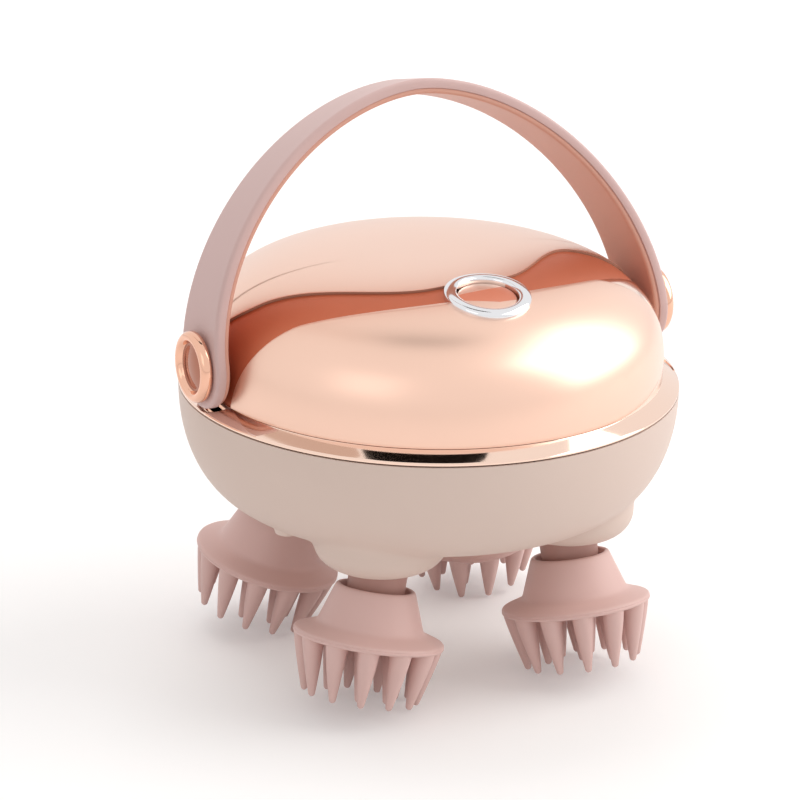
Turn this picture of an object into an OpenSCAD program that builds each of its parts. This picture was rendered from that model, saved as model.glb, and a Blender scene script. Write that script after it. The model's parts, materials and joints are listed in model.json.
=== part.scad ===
// Electric scalp massager: a domed body on four turning claw heads, with a strap handle.
// Origin: on the floor under the dome's axis. X runs along the strap's hinge, -Y is the front.

/* [Body] */
// Radius of the bowl at the seam
seam_r = 42.7; // [41:0.1:44]
// Depth of the bowl below the seam
bowl_depth = 19.8; // [19:0.1:21]
// Radius of the bowl's flat bottom
bowl_flat_r = 30.0; // [28:0.5:31]
// Fullness of the bowl's side, 2 is an ellipse
bowl_fullness = 2.1; // [2:0.1:2.4]
// Wall of the bowl
bowl_wall = 2.2; // [1.6:0.1:2.4]

/* [Dome] */
// Width in plan of the trim ring's slope, from the seam in to the dome
trim_inset = 2.7; // [2.3:0.1:3.2]
// Height of the crease above the seam
crease_rise = 2.3; // [2:0.1:3]
// Height of the dome's top above the crease
dome_rise = 20.7; // [19.5:0.1:22]
// Fullness of the dome, 2 is an ellipse
dome_fullness = 3.0; // [2.8:0.1:3.2]
// Thickness of the front and rear panels
panel_t = 1.2; // [1:0.1:1.4]
// Depth of the coral band below the panels' face
band_drop = 0.4; // [0.2:0.1:0.6]
// Wall of the inner dome
inner_wall = 1.5; // [1.2:0.1:1.8]
// Gap between a panel's edge and the band
panel_gap = 0.2; // [0.1:0.05:0.4]
// Distance from the dome's axis to the front panel's rear edge
front_edge_y = 22.3; // [21.5:0.1:23]
// Radius in plan of the front panel's rear edge
front_edge_r = 54.0; // [50:1:60]
// Distance from the dome's axis to the rear panel's front edge
rear_edge_y = 16.2; // [15.5:0.1:17]

/* [Button] */
// Distance of the button from the dome's axis, to the front
button_y = 21.8; // [21:0.1:22.5]
// Offset of the button to the side
button_x = -1.0; // [-1.5:0.1:1.5]
// Radius of the button cap
button_r = 5.0; // [4.5:0.1:5.2]
// Width of the bezel ring
bezel_w = 2.15; // [1.8:0.05:2.4]
// Height of the bezel above its seat
bezel_h = 1.3; // [1.1:0.1:1.6]
// Travel of the button
button_travel = 0.6; // [0.4:0.05:0.8]

/* [Strap] */
// Height of the strap's hinge above the seam
hinge_rise = 8.5; // [8.3:0.1:9]
// Gap between the dome's crease and the strap's lining
strap_gap = 0.4; // [0.3:0.05:0.7]
// Thickness of the strap's outer layer
strap_t = 1.7; // [1.5:0.1:1.8]
// Thickness of the strap's lining
lining_t = 0.9; // [0.7:0.05:1]
// Fullness of the strap's arch: 2 is a half circle, less is slimmer at its shoulders
strap_fullness = 1.8; // [1.75:0.05:2]
// Width of the strap at its ends
strap_w = 14.4; // [13.5:0.1:14.6]
// Width of the strap at its top
strap_top_w = 10.8; // [9.5:0.1:12]
// Lean of the strap to the rear at rest
strap_lean = 15; // [0:1:20]
// Radius of a hinge cap
cap_r = 6.0; // [5.4:0.1:6.2]
// How far a hinge cap stands proud of the strap
cap_t = 1.9; // [1.5:0.1:2.2]
// Radius of a hinge pin
pin_r = 2.0; // [1.6:0.1:2.4]

/* [Heads] */
// Lean of each head's axis away from the dome's axis
head_lean = 15; // [10:0.5:16]
// Distance along a head's axis from its pivot to the collar's mouth
collar_h = 4.9; // [4.6:0.1:5.2]
// Radius of the collar's mouth
collar_r = 6.7; // [6.5:0.1:7.2]
// Distance along a head's axis from its pivot to the skirt
skirt_h = 13.4; // [13:0.1:14]
// Radius of the skirt
skirt_r = 12.8; // [12.4:0.1:13.4]
// Radius of the collar where it meets the skirt
cone_r = 8.9; // [8.4:0.1:9.4]
// Length of a finger below the skirt
finger_len = 10.5; // [8.5:0.1:11]
// Radius of a finger at its root
finger_r = 1.85; // [1.6:0.05:2]
// Radius of a finger's round tip
finger_tip_r = 0.6; // [0.5:0.05:0.8]
// Fingers in the outer ring of a head
fingers_outer = 12; // [8:1:13]
// Fingers in the inner ring of a head
fingers_inner = 7; // [4:1:8]
// Radius of the outer ring at the fingers' roots
ring_r = 10.7; // [10.2:0.1:10.9]
// How far a finger of the outer ring slants in over its length
finger_slant = 1.3; // [0:0.1:2]
// Height of the bosses' lips above the heads' pivots
lip_drop = 0.6; // [0.2:0.1:1]

/* [Bosses] */
// How far the bosses stand below the bowl
boss_h = 4.18; // [4:0.02:5]
// Radius of a boss under the bowl
boss_r = 11.4; // [11:0.1:11.6]
// Rounding of a boss's lower edge
boss_round = 4.2; // [3.6:0.1:5]
// Radius of the mouth that a neck comes out of
mouth_r = 5.6; // [5.5:0.1:6]

/* [Drive] */
// Tooth size of the sun and output gears
gear_module = 0.8; // [0.78:0.01:0.82]
// Teeth of the sun gear
sun_teeth = 44; // [43:1:46]
// Teeth of an output gear
output_teeth = 19; // [18:1:20]
// Teeth of the compound gear's small wheel
small_teeth = 10; // [9:1:11]
// Tooth size of the motor's stage
motor_module = 0.5; // [0.48:0.01:0.52]
// Teeth of the compound gear's large wheel
large_teeth = 40; // [38:1:42]
// Teeth of the motor's pinion
pinion_teeth = 10; // [9:1:12]
// Radius of an output shaft
shaft_r = 2.5; // [2.2:0.1:2.6]
// Radius of the motor
motor_r = 10.0; // [9:0.1:10.5]
// Length of the motor
motor_len = 17.5; // [14:0.5:18.5]

/* [Fits] */
// Play between a turning pin and its bore
running_fit = 0.05; // [0.03:0.01:0.08]
// Play between the button and its bezel
button_fit = 0.15; // [0.1:0.05:0.2]
// Play between faces that slide past each other
side_play = 0.15; // [0.1:0.05:0.2]

/* [Hidden] */
$fn = 96;
BIG = 200;
TURN = 360;
PRESSURE = 25;
PALE = "#ddcdc3";
CORAL = "#d98663";
ROSE = "#f0c3a8";
DUSTY = "#d8b3ad";
SOFT = "#c99a94";
SILVER = "#d2d2d4";
STEEL = "#9a9da1";
WHITE = "#ece8e0";

// Drive train: the heads stand where their gears mesh with the sun gear
head_r = gear_module * (sun_teeth + output_teeth) / 2;
compound_y = gear_module * (sun_teeth + small_teeth) / 2;
motor_y = compound_y - motor_module * (large_teeth + pinion_teeth) / 2;
HEAD_AT = [225, 315, 45, 135];
HEAD_TURN = [-12, -38, 6, 12];

// The lowest finger tip touches the floor, which sets the pivots' height
finger_root = 0.8;
outer_len = finger_len - finger_root + 0.14;
slant_angle = asin(finger_slant / outer_len);
tip_h = skirt_h + finger_root + (outer_len - finger_tip_r) * cos(slant_angle);
tip_ring_r = ring_r - (outer_len - finger_tip_r) * sin(slant_angle);
pivot_z = tip_h * cos(head_lean) + tip_ring_r * sin(head_lean) + finger_tip_r;
lip_z = pivot_z - lip_drop;
seam_z = lip_z + boss_h + bowl_depth;
floor_z = seam_z - bowl_depth + bowl_wall;
crease_z = seam_z + crease_rise;
dome_r = seam_r - trim_inset;
dome_top = crease_z + dome_rise;

// The strap follows the dome
hinge_z = seam_z + hinge_rise;
strap_in = dome_r + strap_gap;
strap_r = strap_in + lining_t + strap_t;
pocket_r = strap_w / 2 + 0.7;

bush_z = lip_z + 3.3;
bush_top = floor_z + 1.8;
bush_r = shaft_r + 1.5;
neck_r = 4.9;
mouth_lip = 0.5;
knuckle_r = shaft_r + 0.4;
core_r = 5.4;
core_flange_r = 9.0;
core_h = 9.2;

gear_gap = 0.2;
output_z = bush_top + 0.35;
output_t = 3.6;
small_z = output_z + output_t + 0.3;
small_t = 2.9;
sun_t = small_z + small_t - output_z;
large_z = small_z + small_t + gear_gap;
large_t = 2.6;
plate_z = large_z + large_t + 1.2;
plate_t = 2.0;
plate_r = head_r + 3.8;
axle_r = 1.5;
motor_shaft_r = 0.75;
post_r = 2.6;
screw_r = 1.1;
screw_head_r = 1.9;
screw_seat_z = seam_z - bowl_depth + 2.6;
screw_bite = 6;
plate_screw_len = 6;
gasket_t = 0.3;
battery_size = [30, 15, 9];
battery_y = -14.5;
board_size = [27, 24, 1.2];
board_y = -15.5;
board_z = dome_top - 10.6;
// The charge socket fills the room between the large wheel and the wall
socket_y = compound_y + motor_module * (large_teeth / 2 + 0.8) + 1.9;
socket_size = [9, seam_r - 1.6 - socket_y, 3.2];
socket_z = seam_z - 7;
battery_top = plate_z + plate_t + 1 + battery_size[2];
motor_top = plate_z + plate_t + motor_len;
wire_r = 0.5;

bezel_r = button_r + button_fit + bezel_w;
button_z = dome_z(norm([button_x, button_y]));
button_slope = atan(dome_z(button_y - 0.5) - dome_z(button_y + 0.5));
stem_depth = 4.2;
stem_r = 1.8;
// The plunger's top stays just clear of the pressed, slanted stem
switch_h = button_z - stem_depth - stem_r * sin(button_slope) - button_travel - 0.1 - board_z - board_size[2];

PLATE_POSTS = [[plate_r - 4.5, 0], [4.5 - plate_r, 0], [0, 3.5 - plate_r]];
case_post_at = seam_r - 9.7;
CASE_POSTS = [for (a = [18, 162, 198, 342]) case_post_at * [cos(a), sin(a)]];

// Outline of a quarter superellipse from (r, 0) to (0, h)
function quarter(r, h, n, steps = 22) =
    [for (i = [0:steps]) let (t = 90 * i / steps)
        [i == steps ? 0 : r * pow(cos(t), 2 / n), h * pow(sin(t), 2 / n)]];

// Height of the dome's face at a distance from the axis
function dome_z(r) = crease_z + dome_rise * pow(1 - pow(r / dome_r, dome_fullness), 1 / dome_fullness);

// Plan of the two panel edges at x. The rear one waves: it eases back to each side and curls in at the hinges
function front_edge(x) = -front_edge_y + front_edge_r - sqrt(front_edge_r * front_edge_r - x * x);
function ease(u) = u <= 0 ? 0 : u >= 1 ? 1 : (1 - cos(180 * u)) / 2;
function rear_edge(x) = let (u = x / dome_r)
    dome_r * ((u < 0 ? 0.425 * ease((-u - 0.2) / 0.8) : 0.315 * ease((u - 0.1) / 0.55))
    + 0.15 * pow(max(abs(u) - 0.825, 0) / 0.1625, 2)) - rear_edge_y;
edge_end = dome_r + 2;
EDGE_X = [for (i = [-21:21]) edge_end * i / 21];

// Places its children at the button, with +Z along the dome's normal there
module at_button() {
    translate([button_x, -button_y, button_z]) rotate([button_slope, 0, 0]) children();
}

// Places its children at one boss's axis, with +X away from the dome's axis
module at_boss(i) {
    rotate([0, 0, HEAD_AT[i]]) translate([head_r, 0, 0]) children();
}

// Places its children at one head's pivot, with +Z along the leaning axis, upward
module at_head(i) {
    at_boss(i) translate([0, 0, pivot_z]) rotate([0, 0, HEAD_TURN[i]])
        rotate([0, -head_lean, 0]) children();
}

// Places its children on the hinge axis at side 1 or -1, with +Z outward
module at_hinge(side) {
    translate([0, 0, hinge_z]) rotate([0, side * 90, 0]) children();
}

module ring(r_out, r_in, h) {
    difference() {
        cylinder(r = r_out, h = h);
        translate([0, 0, -1]) cylinder(r = r_in, h = h + 2);
    }
}

// Solid under the dome's face, moved in by depth, down to the crease less a drop
module dome_solid(depth, drop = 0) {
    rotate_extrude($fn = 120)
        polygon(concat([[0, crease_z - drop], [dome_r - depth, crease_z - drop]],
            [for (p = quarter(dome_r - depth, dome_rise - depth, dome_fullness)) [p[0], p[1] + crease_z]]));
}

module dome_shell(outer, inner, drop = 0) {
    difference() {
        dome_solid(outer, drop);
        dome_solid(inner, drop + 1);
    }
}

// Seat and hole for the bezel and button, cut through what lies on the dome
module bezel_cut() {
    at_button() {
        translate([0, 0, -0.35]) cylinder(r = bezel_r + 0.05, h = 5);
        translate([0, 0, -8]) cylinder(r = button_r + button_fit + 0.85, h = 9);
    }
}

// Pocket round the strap's end, open to the outside
module strap_pocket(side) {
    at_hinge(side) translate([0, 0, strap_in - 0.3]) cylinder(r = pocket_r, h = BIG);
}

// Spur gear with involute teeth, 25 degree pressure angle
function inv_deg(a) = tan(a) * 180 / PI - a;
function flank(r, teeth, m, play) =
    90 / teeth - play / (m * teeth) * 180 / PI / 2 + inv_deg(PRESSURE)
    - (r <= m * teeth / 2 * cos(PRESSURE) ? 0 : inv_deg(acos(m * teeth / 2 * cos(PRESSURE) / r)));
module gear(teeth, m, h, bore, play = 0.12) {
    pitch_r = m * teeth / 2;
    root_r = pitch_r - 1.05 * m;
    tip_r = pitch_r + 0.8 * m;
    base_r = max(root_r + 0.02, pitch_r * cos(PRESSURE));
    radii = [root_r, for (k = [0:3]) base_r + (tip_r - base_r) * k / 3];
    linear_extrude(height = h) difference() {
        polygon([for (t = [0:teeth - 1])
            for (s = [-1, 1])
                for (k = [0:4])
                    let (r = radii[s < 0 ? k : 4 - k],
                         a = TURN * t / teeth + s * flank(r, teeth, m, play))
                    [r * cos(a), r * sin(a)]]);
        circle(r = bore, $fn = 48);
    }
}

// Turn of a gear that meshes at angle phi with a gear already turned by turn_1
function mesh_turn(phi, turn_1, teeth_1, teeth_2) =
    phi + 180 + 180 / teeth_2 - (turn_1 - phi) * teeth_1 / teeth_2;
compound_turn = mesh_turn(90, 0, sun_teeth, small_teeth);
pinion_turn = mesh_turn(-90, compound_turn, large_teeth, pinion_teeth);

// ---- Body ----

module boss_outside() {
    flat = boss_r - boss_round;
    rotate_extrude() polygon(concat([[0, lip_z - mouth_lip], [mouth_r + 0.6, lip_z - mouth_lip],
        [mouth_r + 0.75, lip_z], [flat, lip_z]],
        [for (a = [-75:15:0]) [flat + boss_round * cos(a), lip_z + boss_round * (1 + sin(a))]],
        [[boss_r, floor_z + 2], [0, floor_z + 2]]));
}

module bowl_solid(wall, rise) {
    pts = quarter(seam_r - bowl_flat_r - wall, bowl_depth - wall, bowl_fullness);
    rotate_extrude($fn = 120) polygon(concat([[0, seam_z + rise], [seam_r - wall, seam_z + rise]],
        [for (p = pts) [bowl_flat_r + p[0], seam_z - p[1]]], [[0, seam_z - bowl_depth + wall]]));
}

module lower_housing() color(PALE) {
    difference() {
        union() {
            bowl_solid(0, 0);
            for (i = [0:3]) at_boss(i) boss_outside();
        }
        difference() {
            bowl_solid(bowl_wall, 1);
            // Posts, gear seats and the tubes that hold the bushes stay inside
            for (p = PLATE_POSTS) translate([p[0], p[1], 0]) cylinder(r = post_r, h = plate_z);
            for (p = CASE_POSTS) translate([p[0], p[1], 0]) cylinder(r = post_r, h = seam_z);
            cylinder(r = 4, h = output_z - 0.05);
            translate([0, compound_y, 0]) cylinder(r = 2.8, h = small_z - 0.05);
            for (i = [0:3]) at_boss(i) cylinder(r = bush_r + 1.6, h = bush_top - 0.3);
            translate([-6, socket_y - 0.9, socket_z - 3.6]) cube([12, BIG, 1.6]);
        }
        for (i = [0:3]) at_boss(i) {
            translate([0, 0, lip_z - 1]) cylinder(r = mouth_r, h = bush_z - lip_z + 1);
            cylinder(r = bush_r, h = BIG);
            translate([0, 0, lip_z + 2.2]) ring(boss_r - 2, mouth_r + 1.6, floor_z - lip_z - 2.1);
        }
        for (p = PLATE_POSTS) translate([p[0], p[1], plate_z - plate_screw_len])
            cylinder(r = screw_r - 0.1, h = BIG, $fn = 24);
        for (p = CASE_POSTS) translate([p[0], p[1], 0]) {
            cylinder(r = screw_r + 0.1, h = BIG, $fn = 24);
            cylinder(r = screw_head_r + 0.2, h = screw_seat_z, $fn = 32);
        }
        for (y = [0, compound_y]) translate([0, y, floor_z - 1]) cylinder(r = axle_r, h = BIG);
        socket_bar(0, BIG, -0.1);
    }
}

module seam_gasket() color("#6b4a3e") {
    translate([0, 0, seam_z]) ring(seam_r - 0.35, seam_r - 1.6, gasket_t);
}

module trim_ring() color(ROSE) difference() {
    rotate_extrude($fn = 120) polygon([[dome_r - 1.1, seam_z + gasket_t], [seam_r, seam_z + gasket_t],
        [seam_r, seam_z + gasket_t + 0.3], [dome_r + 0.1, crease_z - 0.1], [dome_r - 1.1, crease_z - 0.1]]);
    for (side = [-1, 1]) strap_pocket(side);
}

module inner_dome() color(CORAL) difference() {
    union() {
        dome_shell(panel_t + 0.05, panel_t + inner_wall, 1.9);
        intersection() {
            dome_shell(band_drop, panel_t + inner_wall, 0);
            translate([0, 0, crease_z]) linear_extrude(height = dome_rise)
                polygon(concat([for (x = EDGE_X) [x, front_edge(x) + panel_gap]],
                    [for (i = [len(EDGE_X) - 1:-1:0]) [EDGE_X[i], rear_edge(EDGE_X[i]) - panel_gap]]));
        }
        intersection() {
            union() {
                for (side = [-1, 1]) at_hinge(side)
                    translate([0, 0, dome_r - 6]) cylinder(r = pin_r + 2.2, h = 6);
                for (p = CASE_POSTS) translate([p[0], p[1], seam_z])
                    cylinder(r = post_r, h = dome_rise);
                for (x = [-11, 11]) for (y = [-9.5, 9.5])
                    translate([x, board_y + y, board_z + board_size[2]]) cylinder(r = 1.4, h = BIG);
            }
            dome_solid(panel_t + 0.6, crease_rise);
        }
    }
    bezel_cut();
    for (side = [-1, 1]) at_hinge(side) cylinder(r = pin_r, h = BIG);
    for (side = [-1, 1]) strap_pocket(side);
    for (p = CASE_POSTS) translate([p[0], p[1], seam_z - 1])
        cylinder(r = screw_r, h = screw_bite + 2, $fn = 24);
}

module front_panel() color(ROSE) difference() {
    intersection() {
        dome_shell(0, panel_t);
        translate([0, 0, crease_z]) linear_extrude(height = dome_rise + 1)
            polygon(concat([for (x = EDGE_X) [x, front_edge(x)]], [[edge_end, -BIG], [-edge_end, -BIG]]));
    }
    bezel_cut();
    for (side = [-1, 1]) strap_pocket(side);
    for (side = [-1, 1]) at_hinge(side) cylinder(r = pin_r + 0.3, h = BIG);
}

module rear_panel() color(ROSE) difference() {
    intersection() {
        dome_shell(0, panel_t);
        translate([0, 0, crease_z]) linear_extrude(height = dome_rise + 1)
            polygon(concat([for (x = EDGE_X) [x, rear_edge(x)]], [[edge_end, BIG], [-edge_end, BIG]]));
    }
    bezel_cut();
    for (side = [-1, 1]) strap_pocket(side);
    for (side = [-1, 1]) at_hinge(side) cylinder(r = pin_r + 0.3, h = BIG);
}

// ---- Button ----

module button_bezel() color(SILVER) at_button() {
    bore = button_r + button_fit;
    mid = (bore + bezel_r) / 2;
    half = bezel_w / 2;
    translate([0, 0, -0.35]) rotate_extrude() polygon(concat([[bore, 0], [bezel_r, 0]],
        [for (a = [0:15:180]) [mid + half * cos(a), bezel_h - half * 0.75 + half * 0.75 * sin(a)]]));
    translate([0, 0, -4]) ring(bore + 0.8, bore, 3.8);
}

module button_cap() color(ROSE) at_button() {
    translate([0, 0, -3.2]) cylinder(r = button_r, h = 3.2);
    translate([0, 0, -stem_depth]) cylinder(r = stem_r, h = stem_depth - 3.1);
}

module tact_switch() color(STEEL) {
    translate([button_x - 3, -button_y - 3, board_z + board_size[2]]) cube([6, 6, switch_h - 0.8]);
    translate([button_x, -button_y, board_z + board_size[2]]) cylinder(r = 1.6, h = switch_h);
}

module circuit_board() color("#4f7a58")
    translate([-board_size[0] / 2, board_y - board_size[1] / 2, board_z]) cube(board_size);

// ---- Strap ----

// Side outline of the strap, as a slab along X, upright, with its hinge at the origin
module strap_side(inset) {
    half = strap_w / 2 - inset;
    top = strap_top_w / 2 - inset;
    rotate([90, 0, 90]) linear_extrude(height = BIG, center = true) union() {
        circle(r = half);
        polygon([[-half, 0], [half, 0], [top, strap_r + 1], [-top, strap_r + 1]]);
    }
}

// Upper half of the strap's arch, from hinge to hinge
function arch_half(r) = [for (i = [0 : 90]) let (a = 2 * i)
    [(a > 90 ? -1 : 1) * r * pow(abs(cos(a)), 2 / strap_fullness), r * pow(abs(sin(a)), 2 / strap_fullness)]];

// Arch between two radii, as a slab along Y, with straight ends below the hinge
module strap_arch(r_out, r_in) {
    rotate([90, 0, 0]) linear_extrude(height = strap_w + 2, center = true) difference() {
        union() {
            polygon(arch_half(r_out));
            translate([-r_out, -strap_w]) square([2 * r_out, strap_w]);
        }
        polygon(arch_half(r_in));
        translate([-r_in, -strap_w - 1]) square([2 * r_in, strap_w + 1]);
        translate([-BIG, -BIG - strap_w + 1]) square([2 * BIG, BIG]);
    }
}

module strap_layer(r_out, r_in, inset) {
    translate([0, 0, hinge_z]) rotate([-strap_lean, 0, 0]) difference() {
        intersection() {
            strap_arch(r_out, r_in);
            strap_side(inset);
        }
        rotate([0, 90, 0]) cylinder(r = pin_r + running_fit, h = BIG, center = true);
    }
}

module handle_strap() color(DUSTY) strap_layer(strap_r, strap_r - strap_t, 0);
module strap_lining() color(CORAL) strap_layer(strap_r - strap_t, strap_in, 0.3);

module hinge_cap(side) color(ROSE) at_hinge(side) {
    low = strap_r + side_play;
    face = low + cap_t;
    rotate_extrude() polygon([[0, low], [cap_r - 0.4, low], [cap_r, low + 0.4], [cap_r, face - 0.6],
        [cap_r - 0.5, face - 0.1], [cap_r - 1, face], [cap_r - 1.5, face - 0.15], [cap_r - 2, face - 0.9],
        [cap_r - 3.2, face - 0.75], [1.4, face - 0.3], [0, face - 0.2]]);
}

module hinge_pin(side) color(STEEL) at_hinge(side)
    translate([0, 0, dome_r - 6.5]) cylinder(r = pin_r, h = strap_r + side_play - dome_r + 6.5);

// ---- Drive ----

module motor() color(STEEL) translate([0, motor_y, plate_z + plate_t]) difference() {
    union() {
        cylinder(r = motor_r, h = motor_len);
        translate([0, 0, -1.4]) cylinder(r = 2.6, h = 1.5);
        translate([0, 0, motor_len - 0.1]) cylinder(r = 2.6, h = 1);
    }
    translate([0, 0, -2]) cylinder(r = motor_shaft_r + running_fit, h = motor_len);
}

module motor_shaft() color(SILVER) translate([0, motor_y, large_z])
    cylinder(r = motor_shaft_r, h = plate_z + plate_t - large_z + motor_len - 5.5);

module motor_pinion() color("#b8a05a") translate([0, motor_y, large_z])
    rotate([0, 0, pinion_turn]) gear(pinion_teeth, motor_module, large_t, motor_shaft_r, 0.1);

module compound_gear() color(WHITE) translate([0, compound_y, 0]) rotate([0, 0, compound_turn]) {
    translate([0, 0, small_z]) gear(small_teeth, gear_module, small_t, axle_r + running_fit);
    translate([0, 0, large_z - gear_gap])
        ring(small_teeth * gear_module / 2 - 0.9, axle_r + running_fit, gear_gap);
    translate([0, 0, large_z]) gear(large_teeth, motor_module, large_t, axle_r + running_fit, 0.1);
}

module compound_axle() color(STEEL) translate([0, compound_y, floor_z - 1])
    cylinder(r = axle_r, h = plate_z + plate_t - floor_z + 1);

module sun_gear() color(WHITE) difference() {
    translate([0, 0, output_z]) gear(sun_teeth, gear_module, sun_t, axle_r + running_fit);
    for (a = [0:60:300]) rotate([0, 0, a]) translate([9.5, 0, 0]) cylinder(r = 3.2, h = BIG);
}

module sun_axle() color(STEEL) translate([0, 0, floor_z - 1])
    cylinder(r = axle_r, h = plate_z + plate_t - floor_z + 1);

module motor_plate() color(WHITE) difference() {
    translate([0, 0, plate_z]) cylinder(r = plate_r, h = plate_t);
    for (p = PLATE_POSTS) translate([p[0], p[1], 0]) cylinder(r = screw_r + 0.1, h = BIG, $fn = 24);
    for (y = [0, compound_y]) translate([0, y, 0]) cylinder(r = axle_r, h = BIG);
    translate([0, motor_y, 0]) cylinder(r = 2.65, h = BIG);
    for (i = [0:3]) at_boss(i) cylinder(r = 6.5, h = BIG);
}

module screw(length) {
    cylinder(r = screw_head_r, h = 1.4, $fn = 32);
    translate([0, 0, -length]) cylinder(r = screw_r - 0.15, h = length + 0.1, $fn = 24);
}

module plate_screws() color(STEEL) for (p = PLATE_POSTS)
    translate([p[0], p[1], plate_z + plate_t]) screw(plate_screw_len);

module housing_screws() color(STEEL) for (p = CASE_POSTS) translate([p[0], p[1], screw_seat_z])
    mirror([0, 0, 1]) screw(seam_z - screw_seat_z + screw_bite);

// ---- Power ----

module battery_tray() color(WHITE) {
    wall = 1;
    play = 0.2;
    side = wall + play;
    translate([-battery_size[0] / 2 - side, battery_y - battery_size[1] / 2 - side, plate_z + plate_t])
        difference() {
            cube([battery_size[0] + 2 * side, battery_size[1] + 2 * side, battery_size[2] * 0.55]);
            translate([wall, wall, wall]) cube([battery_size[0] + 2 * play, battery_size[1] + 2 * play, BIG]);
        }
}

module battery() color("#5b7fa3") translate([0, battery_y, plate_z + plate_t + 1])
    translate([-battery_size[0] / 2, -battery_size[1] / 2, 0]) cube(battery_size);

// Stadium-shaped bar along Y from y, with its wall drawn in by inset
module socket_bar(y, length, inset) {
    half = (socket_size[0] - socket_size[2]) / 2;
    translate([0, y, socket_z]) rotate([-90, 0, 0]) linear_extrude(height = length) union() {
        for (x = [-half, half]) translate([x, 0]) circle(r = socket_size[2] / 2 - inset, $fn = 32);
        square([2 * half, socket_size[2] - 2 * inset], center = true);
    }
}

module charge_socket() color(STEEL) difference() {
    socket_bar(socket_y, socket_size[1], 0);
    socket_bar(socket_y + 1, socket_size[1], 0.4);
}

// Insulated wire along straight runs between points, with a round knee at each bend
module wire(points) {
    for (i = [0:len(points) - 2]) {
        d = points[i + 1] - points[i];
        translate(points[i]) rotate([0, acos(d[2] / norm(d)), atan2(d[1], d[0])])
            cylinder(r = wire_r, h = norm(d), $fn = 16);
        if (i > 0) translate(points[i]) sphere(r = wire_r + 0.06, $fn = 24);
    }
}

module battery_leads() color("#b5332c") for (x = [-9, -6.5])
    wire([[x, battery_y + 6, battery_top], [x, battery_y + 6, battery_top + 1.5],
          [x, board_y + 8, board_z - 1], [x, board_y + 8, board_z]]);

// The motor's leads run down between its can and the board, and come up under the board
module motor_leads() color("#2f2f33") for (x = [-4, 4]) {
    out_y = motor_y - 5;
    down_y = board_y + board_size[1] / 2 + 1.7;
    pad_y = down_y - 3.7;
    wire([[x, out_y, motor_top], [x, out_y, motor_top + 1.3], [x, down_y, motor_top + 1.3],
          [x, down_y, board_z - 1.2], [x, pad_y, board_z - 1.2], [x, pad_y, board_z]]);
}

// ---- Heads ----

module shaft_bush(i) color("#b08a4a") at_boss(i) {
    translate([0, 0, bush_z]) ring(bush_r, shaft_r + running_fit, bush_top - bush_z);
    translate([0, 0, bush_top - 0.3]) ring(bush_r + 1, shaft_r + running_fit, 0.3);
}

module output_gear(i) color(WHITE) at_boss(i) translate([0, 0, output_z])
    rotate([0, 0, mesh_turn(HEAD_AT[i], 0, sun_teeth, output_teeth) - HEAD_AT[i]])
        gear(output_teeth, gear_module, output_t, shaft_r);

module output_shaft(i) color(SILVER) {
    at_boss(i) translate([0, 0, pivot_z]) cylinder(r = shaft_r, h = output_z + output_t + 0.6 - pivot_z);
    at_head(i) {
        sphere(r = knuckle_r);
        translate([0, 0, -skirt_h]) cylinder(r = shaft_r, h = skirt_h);
    }
}

module neck(i) color("#b98a80") at_head(i) difference() {
    translate([0, 0, -core_h]) cylinder(r = neck_r, h = core_h - 1);
    translate([0, 0, -core_h - 1]) cylinder(r = shaft_r + 0.03, h = core_h + 2);
    translate([0, 0, -knuckle_r - 0.1]) cylinder(r = knuckle_r + 0.1, h = knuckle_r);
}

module head_core(i) color(WHITE) at_head(i) difference() {
    union() {
        translate([0, 0, -skirt_h - 0.3]) cylinder(r = core_r, h = skirt_h + 0.3 - core_h);
        translate([0, 0, -skirt_h - 0.3]) cylinder(r = core_flange_r, h = 1.6);
    }
    translate([0, 0, -skirt_h]) cylinder(r = shaft_r + 0.03, h = skirt_h);
}

// One finger, point down, with its root in the skirt and its round tip at the given depth
module finger(length) {
    tip = length - finger_tip_r;
    taper = [0.89, 0.73, 0.53];
    rotate_extrude($fn = 24) polygon(concat([[0, 1], [finger_r, 1], [finger_r, 0]],
        [for (k = [0:2]) [finger_r * taper[k], -length * (k + 1) / 4]],
        [for (a = [-15:-25:-65]) [finger_tip_r * cos(a), -tip + finger_tip_r * sin(a)]],
        [[0, -length]]));
}

module finger_ring(count, r, slant, length, offset) {
    for (k = [0:count - 1]) rotate([0, 0, offset + TURN * k / count]) translate([r, 0, 0])
        rotate([0, slant, 0]) finger(length);
}

module massage_claw(i) color(SOFT) at_head(i) {
    web = 1.0;
    brim = 1.9;
    difference() {
        union() {
            rotate_extrude() polygon([[0, -collar_h], [collar_r, -collar_h],
                [cone_r - 0.1, -skirt_h + brim + 0.5], [cone_r + 0.25, -skirt_h + brim - 0.1],
                [cone_r + 0.9, -skirt_h + brim - 0.5], [skirt_r - 0.3, -skirt_h + 0.35],
                [skirt_r, -skirt_h + 0.1], [skirt_r, -skirt_h - 0.35],
                [skirt_r - 0.35, -skirt_h - 0.7], [0, -skirt_h - 0.3 - web]]);
            translate([0, 0, -skirt_h - finger_root]) {
                finger_ring(fingers_outer, ring_r, slant_angle, outer_len, 180);
                finger_ring(fingers_inner, ring_r * 0.55, 0, finger_len - 1, 0);
                finger(finger_len - 1);
            }
        }
        // The open collar, and the bed that the hard core fills
        translate([0, 0, -core_h])
            cylinder(r1 = core_r + 0.1, r2 = collar_r - 0.6, h = core_h - collar_h + 0.01);
        translate([0, 0, -skirt_h - 0.3]) cylinder(r = core_r, h = skirt_h);
        translate([0, 0, -skirt_h - 0.3]) cylinder(r = core_flange_r, h = 1.6);
    }
}

// ---- Assembly ----

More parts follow.
